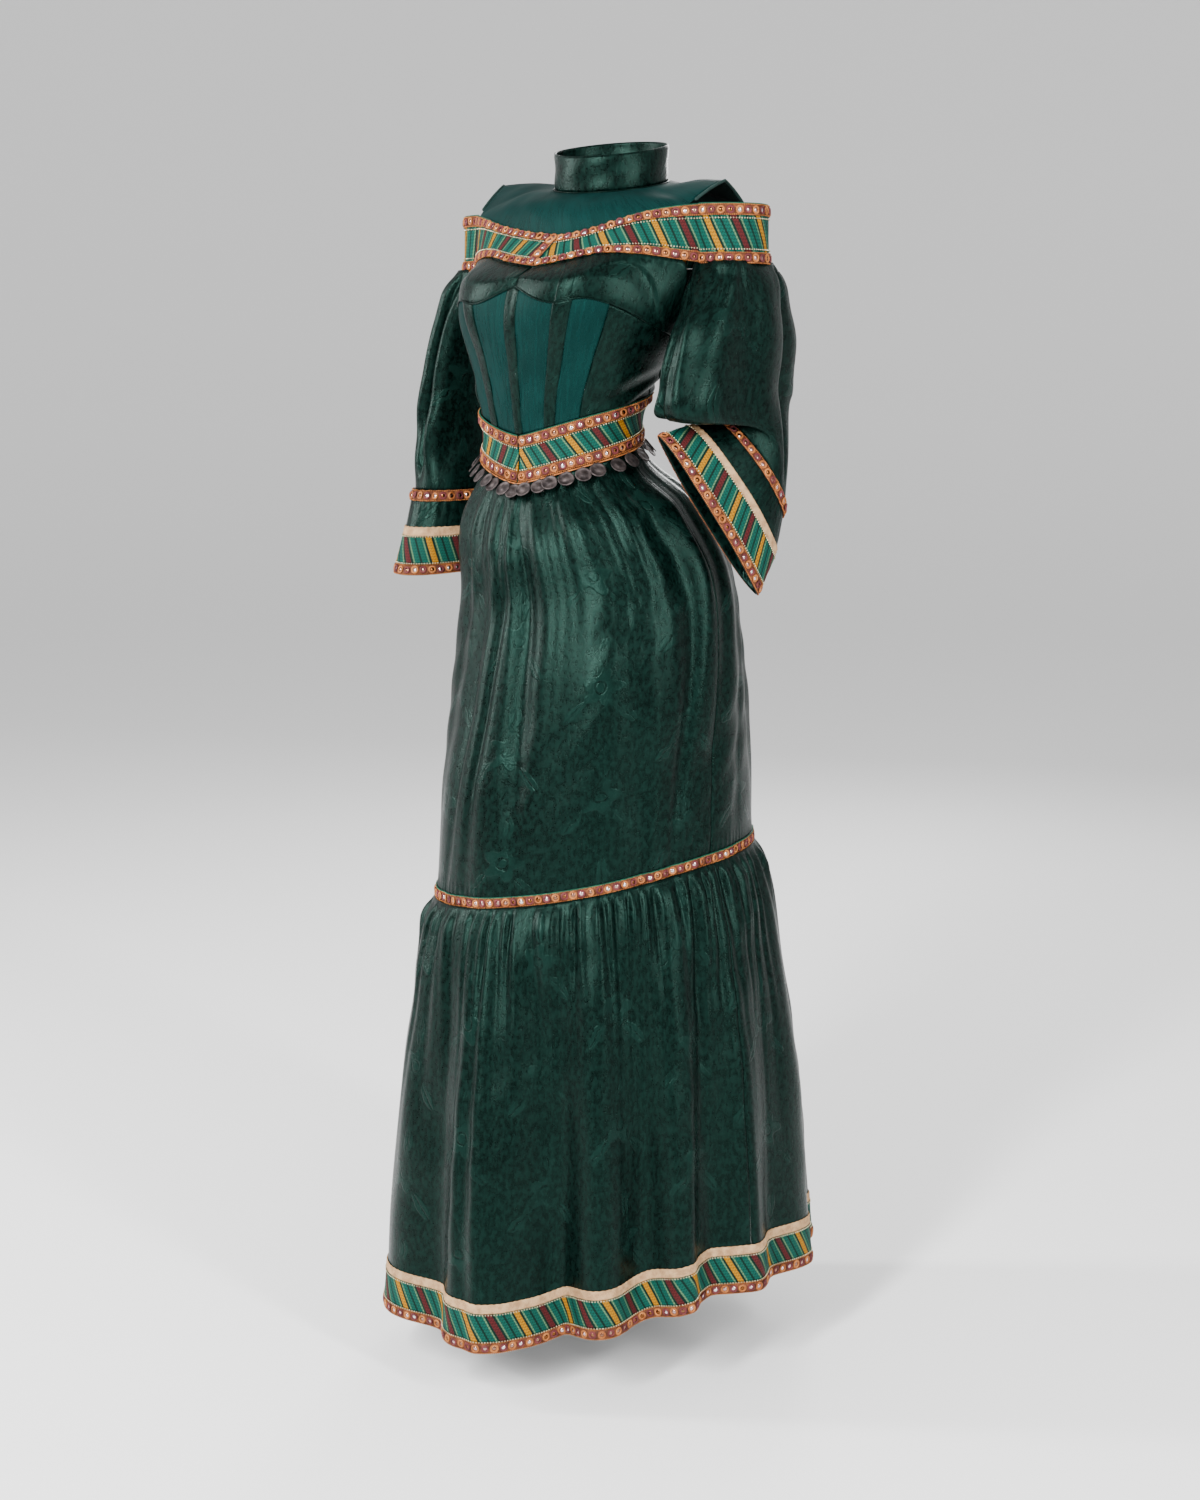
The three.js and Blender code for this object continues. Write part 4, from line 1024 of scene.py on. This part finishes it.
def seam_dips(points, sides, depth=0.8, reach=2.6):
    """How far a panel turns in at its sewn edges, in mm, for sides named start, end, top and low."""
    dip = np.zeros(points.shape[:2])
    for axis, (first, last) in enumerate((("start", "end"), ("top", "low"))):
        along = run_lengths(points, axis)
        for side, distance in ((first, along), (last, along[-1] - along)):
            if side in sides:
                edge = np.exp(-distance / reach)
                dip = np.maximum(dip, edge if axis else edge[:, None])
    return dip * depth


def panel(
    name, surface, us, vs, cloth, flat, held, lift=0.0, thickness=1.0,
    sides=(), relief=None, nodes=None, area=None, **options
):
    """One sewn panel over a surface: us across and vs down, turned in at its sewn sides."""
    u, v = np.meshgrid(us, vs, indexing="ij")
    points = surface(u, v)
    normals = grid_normals(points, **options)
    height = -seam_dips(points, sides)
    if relief is not None:
        height = height + relief(u, v)
    obj = shell_object(name, points + normals * height[..., None], normals, cloth, thickness, lift, options)
    finish_piece(obj, [name] if nodes is None else nodes)


# Pieces
def build_collar():
    def surface(angle, share):
        radius = COLLAR["radius"] * (1 - 0.02 * share) + 0.5 * np.sin(np.radians(3 * angle + 200 * share))
        return around(0, 0, radius, angle, collar_base(angle) + COLLAR["height"] * (1 - share))

    drag = lambda angle, share: 0.9 * np.sin(np.radians(4 * angle) + 5 * share) * np.sin(np.pi * share)
    angles = np.arange(108) / 0.3
    panel("collar", surface, angles, np.linspace(0, 1, 14), SATIN, (0.43, 0.042), "draped", thickness=1.6,
          sides=("top", "low"), relief=drag, wraps=True, level=True)
    base = around(0, 0, COLLAR["radius"] + 1.6, angles, collar_base(angles) - 0.4)
    cord("collar_seam_cord", base, 0.8, SATIN, wraps=True)


def build_yoke():
    q = np.linspace(-1, 1, 91)
    drape = lambda q, t: (0.8 * np.sin(9 * q + 7 * t) + 0.5 * np.sin(21 * q - 9 * t)) * np.sin(np.pi * t)
    for name, side, area in (("yoke_front", -1, 0.032), ("yoke_back", 1, 0.026)):
        surface = lambda u, v, side=side: yoke_point(side, u, v)
        panel(name, surface, q, np.linspace(0, 1, 26), SHEER, (0.36, 0.14), "draped", thickness=0.6,
              relief=drape, area=area, flip=side > 0)


def build_bindings():
    for name, sign in (("armhole_binding_left", 1), ("armhole_binding_right", -1)):
        path = []
        up = np.linspace(BINDING_START, 1, 24)
        for side, t in ((-1, up), (1, 1 + BINDING_START - up[1:])):
            q = sign * (1 - BINDING_SHARE * (1 - t))
            path.append(yoke_edge(side, q) + np.array([sign * (BINDING_RADIUS + BINDING_GAP), 0, 0]))
        path = np.concatenate(path)
        cord(name, path, BINDING_RADIUS * 0.9, DARK_BINDING, sides=10, nodes=[name])


# Parts of the band: name, side, lift off the cloth, slant and start of the stripes
BAND_PARTS = (("left", 1, 0.1, -0.5, 0.15), ("right", -1, 0.7, -0.15, 0.4))


def build_band():
    ends = (0, BAND_FRONT_END, BAND_ARM_END, 1)
    parts = [np.linspace(a, b, count)[1:] for a, b, count in zip(ends, ends[1:], (95, 60, 90))]
    shares = np.concatenate([[0], *parts])
    tape = MIRROR_TAPE / BAND_WIDTH
    for name, sign, lift, slant, phase in BAND_PARTS:
        surface = lambda s, w, sign=sign: band_point(sign, s, w)
        options = {"flip": sign < 0}
        ribbon(f"band_ribbon_{name}", surface, shares, 0.0, 1.0, (0.50, 0.062), slant, lift=lift, phase=phase,
               beads=False, **options)
        for label, v0, v1 in (("top", 0.0, tape), ("low", 1 - tape, 1.0)):
            mirror_tape(f"band_tape_{label}_{name}", surface, shares, v0, v1, (0.50, 0.0125),
                        lift=lift + 1.5, **options)
        points, normals = strip_grid(surface, shares, 0.0, 1.0, 60, **options)
        for label, row in (("high", 14), ("low", 45)):
            bead_row(f"band_beads_{label}_{name}", points[:, row], normals[:, row], lift + 1.1)
        edge = points[:, 0] + normals[:, 0] * (lift + 0.8) + UP * 0.6
        cord(f"band_piping_{name}", edge, 1.0, PIPING)
    # the wearer's right part ends on top of the left part, with its tape turned down across the front
    across = lambda w, s: band_point(-1, s, w)
    down = np.linspace(0.1, 0.96, 30)
    mirror_tape("band_tape_cross", across, down, 0.0, BAND_CROSS_TAPE, (0.053, 0.0125), [], 3.0)


def torso_surface(angle, share):
    """Torso cloth from the band or armhole edge (0) past the under-bust seam (1) to the belt (2)."""
    reach = np.abs(wrap_angle(angle))
    top = edge_height(ARMHOLE_EDGE, angle) - 1.5
    bust = edge_height(UNDER_BUST_EDGE, angle)
    low = belt_top(angle) + BELT["clear"]
    z = np.where(share < 1, mix(top, bust, share), mix(bust, low, share - 1))
    front = 1 - smooth((reach - FRONT_SEWN_TO) / 12)
    back = smooth((reach - BACK_SEWN_FROM + 18) / 18)
    pull = band_foot(angle) - torso_point(angle, top)
    fade = np.clip(1 - 2 * share, 0, 1) ** 1.4
    return torso_point(angle, z) + pull * (np.maximum(front, back) * fade)[..., None]


def drag_lines(angle, share):
    """Creases that run round the waist just above the belt, and faint ones higher up."""
    a = np.radians(angle)
    low = smooth((share - 1.35) / 0.5)
    waist = 1.9 * low * np.sin(17 * share + 5 * a + 1.8 * np.sin(4 * a))
    return waist + 0.9 * np.sin(8 * share + 7 * a + 1.5 * np.sin(3 * a + 4 * share))


def bust_relief(angle, share):
    """Cloth over the cup: an arched fold falls from the band round the side of the bust."""
    reach = np.abs(wrap_angle(angle))
    arch = np.sqrt(((reach - 58) / 25) ** 2 + ((share - 1.02) / 0.84) ** 2)
    side = smooth((reach - 34) / 8)
    fold = 2.6 * smooth((arch - 1) / 0.07) * side * np.exp(-np.maximum(arch - 1, 0) * 1.3)
    ripple = 0.6 * np.sin(np.radians(angle) * 9 + 5 * share) * np.sin(np.pi * np.clip(share, 0, 1))
    return fold + ripple


# Gap in degrees and inset in shares between sewn panels of the torso
TORSO_GAP = 0.07
TORSO_INSET = 0.003


def torso_panel(name, start, end, columns, rows, cloth, flat, gap=TORSO_GAP, **options):
    angles = np.linspace(start + gap, end - gap, columns)
    panel(name, torso_surface, angles, rows, cloth, flat, "stretched", level=True, **options)


def build_torso():
    upper = np.linspace(TORSO_INSET, 1 - TORSO_INSET, 34)
    lower = np.linspace(1 + TORSO_INSET, 2 - TORSO_INSET, 50)
    whole = np.linspace(TORSO_INSET, 2 - TORSO_INSET, 70)
    ends = ("start", "end")
    for name, start, end in (("bust_left", 0, SIDE_SEAM), ("bust_right", -SIDE_SEAM, 0)):
        torso_panel(name, start, end, 90, upper, SATIN, (0.235, 0.095), sides=(*ends, "low"),
                    relief=bust_relief, area=0.0156)
    torso_panel("corset_mesh", -MESH_EDGE, MESH_EDGE, 90, lower, SHEER, (0.205, 0.155), thickness=0.6,
                relief=lambda a, s: 0.5 * drag_lines(a, s))
    for name, start, end in (("side_left", MESH_EDGE, SIDE_SEAM), ("side_right", -SIDE_SEAM, -MESH_EDGE)):
        torso_panel(name, start, end, 44, lower, SATIN, (0.118, 0.105), sides=(*ends, "top"),
                    relief=drag_lines)
    torso_panel("back_panel", SIDE_SEAM, 360 - SIDE_SEAM, 120, whole, SATIN, (0.315, 0.155),
                sides=ends, relief=drag_lines)
    strips = (
        ("centre", -STRIP_HALF, STRIP_HALF),
        ("left", STRIP_IN, STRIP_OUT),
        ("right", -STRIP_OUT, -STRIP_IN),
    )
    for name, start, end in strips:
        torso_panel(f"bone_casing_{name}", start, end, 12, lower, SATIN, (0.019, 0.165), gap=0,
                    lift=SHEER_WALL + 0.2, thickness=0.9, sides=ends)
    high = np.linspace(0.03, 1.0, 40)
    torso_panel("bust_strip_left", STRIP_IN, STRIP_OUT, 12, high, SATIN, (0.019, 0.055), gap=0.6,
                lift=1.0, thickness=0.6, sides=ends, nodes=[], relief=bust_relief)
    seam = torso_surface(np.linspace(-MESH_EDGE, MESH_EDGE, 130), np.full(130, 1.0))
    out = level_normals(seam, seam - UP, wraps=False)
    cord("under_bust_cord", seam + out * 1.3, 0.8, SATIN)


def belt_surface(angle, share):
    return torso_point(angle, mix(belt_top(angle), belt_bottom(angle), share))


def build_belt():
    angles = np.linspace(BELT["slit"], 360 - BELT["slit"], 320)
    tape = MIRROR_TAPE / BELT["height"]
    # the stripes lean the other way on each side of the slit
    for label, u, slant in (("left", angles[angles <= 181], -0.62), ("right", angles[angles >= 180], 0.45)):
        ribbon(f"belt_ribbon_{label}", belt_surface, u, 0.0, 1.0, (0.335, 0.054), slant, ["belt_ribbon"],
               lift=0.9, phase=0.2, beads=False, level=True)
        points, normals = strip_grid(belt_surface, u, 0.0, 1.0, 55, level=True)
        for row_name, row in (("high", 14), ("low", 40)):
            bead_row(f"belt_beads_{row_name}_{label}", points[:, row], normals[:, row], 2.0)
    for label, v0, v1 in (("top", 0.0, tape), ("low", 1 - tape, 1.0)):
        mirror_tape(f"belt_tape_{label}", belt_surface, angles, v0, v1, (0.67, 0.0125), lift=2.4, level=True)
    edge, normals = strip_grid(belt_surface, angles, 0.0, 0.02, 2, level=True)
    cord("belt_piping", edge[:, 0] + normals[:, 0] * 1.8 + UP * 0.6, 0.9, PIPING)


def under_belt(angles, first, second):
    """Points at two distances below the belt: the first line and its level normals."""
    line, below = [torso_point(angles, belt_bottom(angles) - drop) for drop in (first, second)]
    return line, level_normals(line, below)


def build_coins():
    turn = np.arange(COIN["count"])
    angles = -180 + 360 * turn / COIN["count"]
    points, normals = under_belt(angles, COIN["start"], COIN["start"] + COIN["strip"])
    lean = np.radians(COIN["lean"])
    tilt = (COIN_TILT["reach"] * np.sin(turn * COIN_TILT["step"]))[:, None]
    side = np.cross(UP, normals)
    hang = normals * np.sin(lean) - UP * np.cos(lean)
    hang = hang * np.cos(tilt) + side * np.sin(tilt)
    out = unit(np.cross(side, -hang))
    along = np.cross(-hang, out)
    start = points + normals * (COIN["out"] + COIN["wall"]) - UP
    middle = start + hang * (COIN["drop"] - 1)
    repeat_shape("coins", COIN_SHAPE, (middle, along, -hang, out), COIN_METAL, ["coin_strip"])
    repeat_shape("coin_loops", COIN_LOOP, (start + hang * 1.4, along, -hang, out), COIN_METAL)
    ring, normals = under_belt(np.arange(240) * 1.5, 1.6, 4.0)
    cord("coin_cord", ring + normals * (COIN["out"] + 0.6), 0.9, COPPER, wraps=True)


# Gap in degrees at the side seams of skirt and flounce
HALF_GAP = 0.045


def build_halves(name, surface, columns, bend, flat):
    """Front and back half of a gathered tier, with finer rows above the bend."""
    rows = np.concatenate([np.linspace(0, bend, 26), np.linspace(bend, 1, 54)[1:]])
    for label, start in (("front", -90), ("back", 90)):
        angles = np.linspace(start + HALF_GAP, start + 180 - HALF_GAP, columns)
        panel(f"{name}_{label}", surface, angles, rows, SATIN, flat, "gathered",
              sides=("start", "end"), level=True)


def build_skirt():
    build_halves("skirt", skirt_point, 250, 0.2, (0.66, 0.55))
    top = 1 - MIRROR_TAPE / (BELT["top"] - BELT["height"] - KNEE["low"])
    angles = np.arange(450) * 0.8 - 180
    options = {"wraps": True, "level": True}
    mirror_tape("knee_tape", skirt_point, angles, top, 1.0, (1.16, 0.0125), **options)
    edge, normals = strip_grid(skirt_point, angles, top, top + 0.003, 2, **options)
    cord("knee_piping", edge[:, 0] + normals[:, 0] * 2.2, 1.0, PIPING, wraps=True)


def build_flounce():
    build_halves("flounce", flounce_point, 310, 0.16, (0.92, 0.53))
    heights = (MIRROR_TAPE + RIBBON + BRAID, MIRROR_TAPE + RIBBON, MIRROR_TAPE)
    cuts = [1 - height / (KNEE["low"] - HEM_LOW) for height in heights]
    angles = np.arange(800) * 0.45 - 180
    options = {"wraps": True, "level": True}
    braid("hem_braid", flounce_point, angles, cuts[0], cuts[1], (1.75, 0.011), **options)
    ribbon("hem_ribbon", flounce_point, angles, cuts[1], cuts[2], (1.75, 0.033), -0.55, **options)
    mirror_tape("hem_tape", flounce_point, angles, cuts[2], 1.0, (1.75, 0.0125), **options)


def build_sleeve(name, upper_rings, bell_rings, flip, seed, slant, cut, elbow):
    phis = np.arange(150) * 2.4
    fold = sleeve_detail(seed, 0.8)
    options = {"wraps": True, "flip": flip}
    surface = lambda phi, t: sleeve_point(upper_rings, phi, t, True, fold)
    panel(f"sleeve_{name}", surface, phis, np.linspace(0, 1, 80), SATIN, cut, "gathered",
          sides=("top", "low"), **options)
    flare = bell_detail(seed)
    bell = lambda phi, t: sleeve_point(bell_rings, phi, t, False, flare)
    panel(f"bell_{name}", bell, phis, np.linspace(0, 1, 26), SATIN, (0.46, 0.105), "hung",
          sides=("top",), **options)
    rows = BELL_ROWS[name]
    fine = np.arange(220) * (360 / 220)
    mirror_tape(f"elbow_tape_{name}", bell, fine, rows[0], rows[1], (elbow, 0.0125), **options)
    braid(f"cuff_braid_{name}", bell, fine, rows[2], rows[3], (0.45, 0.011), **options)
    ribbon(f"cuff_ribbon_{name}", bell, fine, rows[3], rows[4], (0.47, 0.033), slant, **options)
    mirror_tape(f"cuff_tape_{name}", bell, fine, rows[4], rows[5], (0.48, 0.0125), **options)


# Floor, light and camera
CAMERA_PLACE = (1.6886, -2.1832, -0.2000)
CAMERA_AHEAD = (-0.6067, 0.7765, -0.1702)
CAMERA_LENS = 53.18
SENSOR_WIDTH = 36.0
CAMERA_REACH = 60
FLOOR_Z = -1.42
SURROUND = 0.80
# Pale paper sweep round the dress: radius and height in metres
SWEEP_SIDES = 96
SWEEP = [
    (0.001, 0), (2, 0), (4, 0), (6, 0), (8, 0), (9, 0.06),
    (10, 0.25), (10.8, 0.6), (11.4, 1.1), (11.8, 1.8), (12, 2.7), (12, 3.6),
]
LIGHT_TARGET = Vector((0.0, 0.0, -0.65))
# Soft lights: name, place and size in metres, power in watts
LIGHTS = [
    ("key", (0.5, -3.0, 0.9), (0.4, 1.9), 240),
    ("left", (-2.5, -1.7, 0.5), (0.3, 2.0), 120),
    ("side", (3.0, -0.7, 0.5), (0.3, 2.0), 120),
    ("rim", (-1.2, 2.6, 1.0), (0.8, 2.0), 60),
]


def aim(obj, place, ahead):
    obj.location = place
    obj.rotation_mode = "QUATERNION"
    obj.rotation_quaternion = Vector(ahead).to_track_quat("-Z", "Y")


def build_studio():
    turns = circle(SWEEP_SIDES)
    sweep = np.array(SWEEP)
    ring = np.stack([np.sin(turns), -np.cos(turns), 0 * turns], -1)
    verts = ring[:, None] * sweep[:, :1] + UP * (FLOOR_Z + sweep[:, 1:])
    quads = grid_quads(SWEEP_SIDES, len(sweep), True)[2]
    paper = Shader("floor_paper", Base_Color=(0.90, 0.90, 0.90, 1.0), Roughness=0.9)
    mesh_object("floor", verts.reshape(-1, 3), quads, paper.material)
    world = bpy.data.worlds.new("studio")
    world.use_nodes = True
    bpy.context.scene.world = world
    background = world.node_tree.nodes["Background"]
    background.inputs["Color"].default_value = (1.0, 1.0, 1.0, 1.0)
    background.inputs["Strength"].default_value = SURROUND
    for name, place, size, power in LIGHTS:
        light = bpy.data.lights.new(name, "AREA")
        light.shape = "RECTANGLE"
        light.size, light.size_y = size
        light.energy = power
        aim(link(bpy.data.objects.new(name, light)), place, LIGHT_TARGET - Vector(place))
    camera = bpy.data.cameras.new("camera")
    camera.lens = CAMERA_LENS
    camera.sensor_width = SENSOR_WIDTH
    camera.clip_end = CAMERA_REACH
    bpy.context.scene.camera = link(bpy.data.objects.new("camera", camera))
    aim(bpy.context.scene.camera, CAMERA_PLACE, CAMERA_AHEAD)


build_collar()
build_yoke()
build_bindings()
build_band()
build_torso()
build_belt()
build_coins()
build_skirt()
build_flounce()
build_sleeve("left", NEAR_SLEEVE, NEAR_BELL, True, 1.0, 0.5, (0.46, 0.28), 0.30)
build_sleeve("right", FAR_SLEEVE, FAR_BELL, False, 2.3, -0.5, (0.50, 0.30), 0.50)
build_studio()
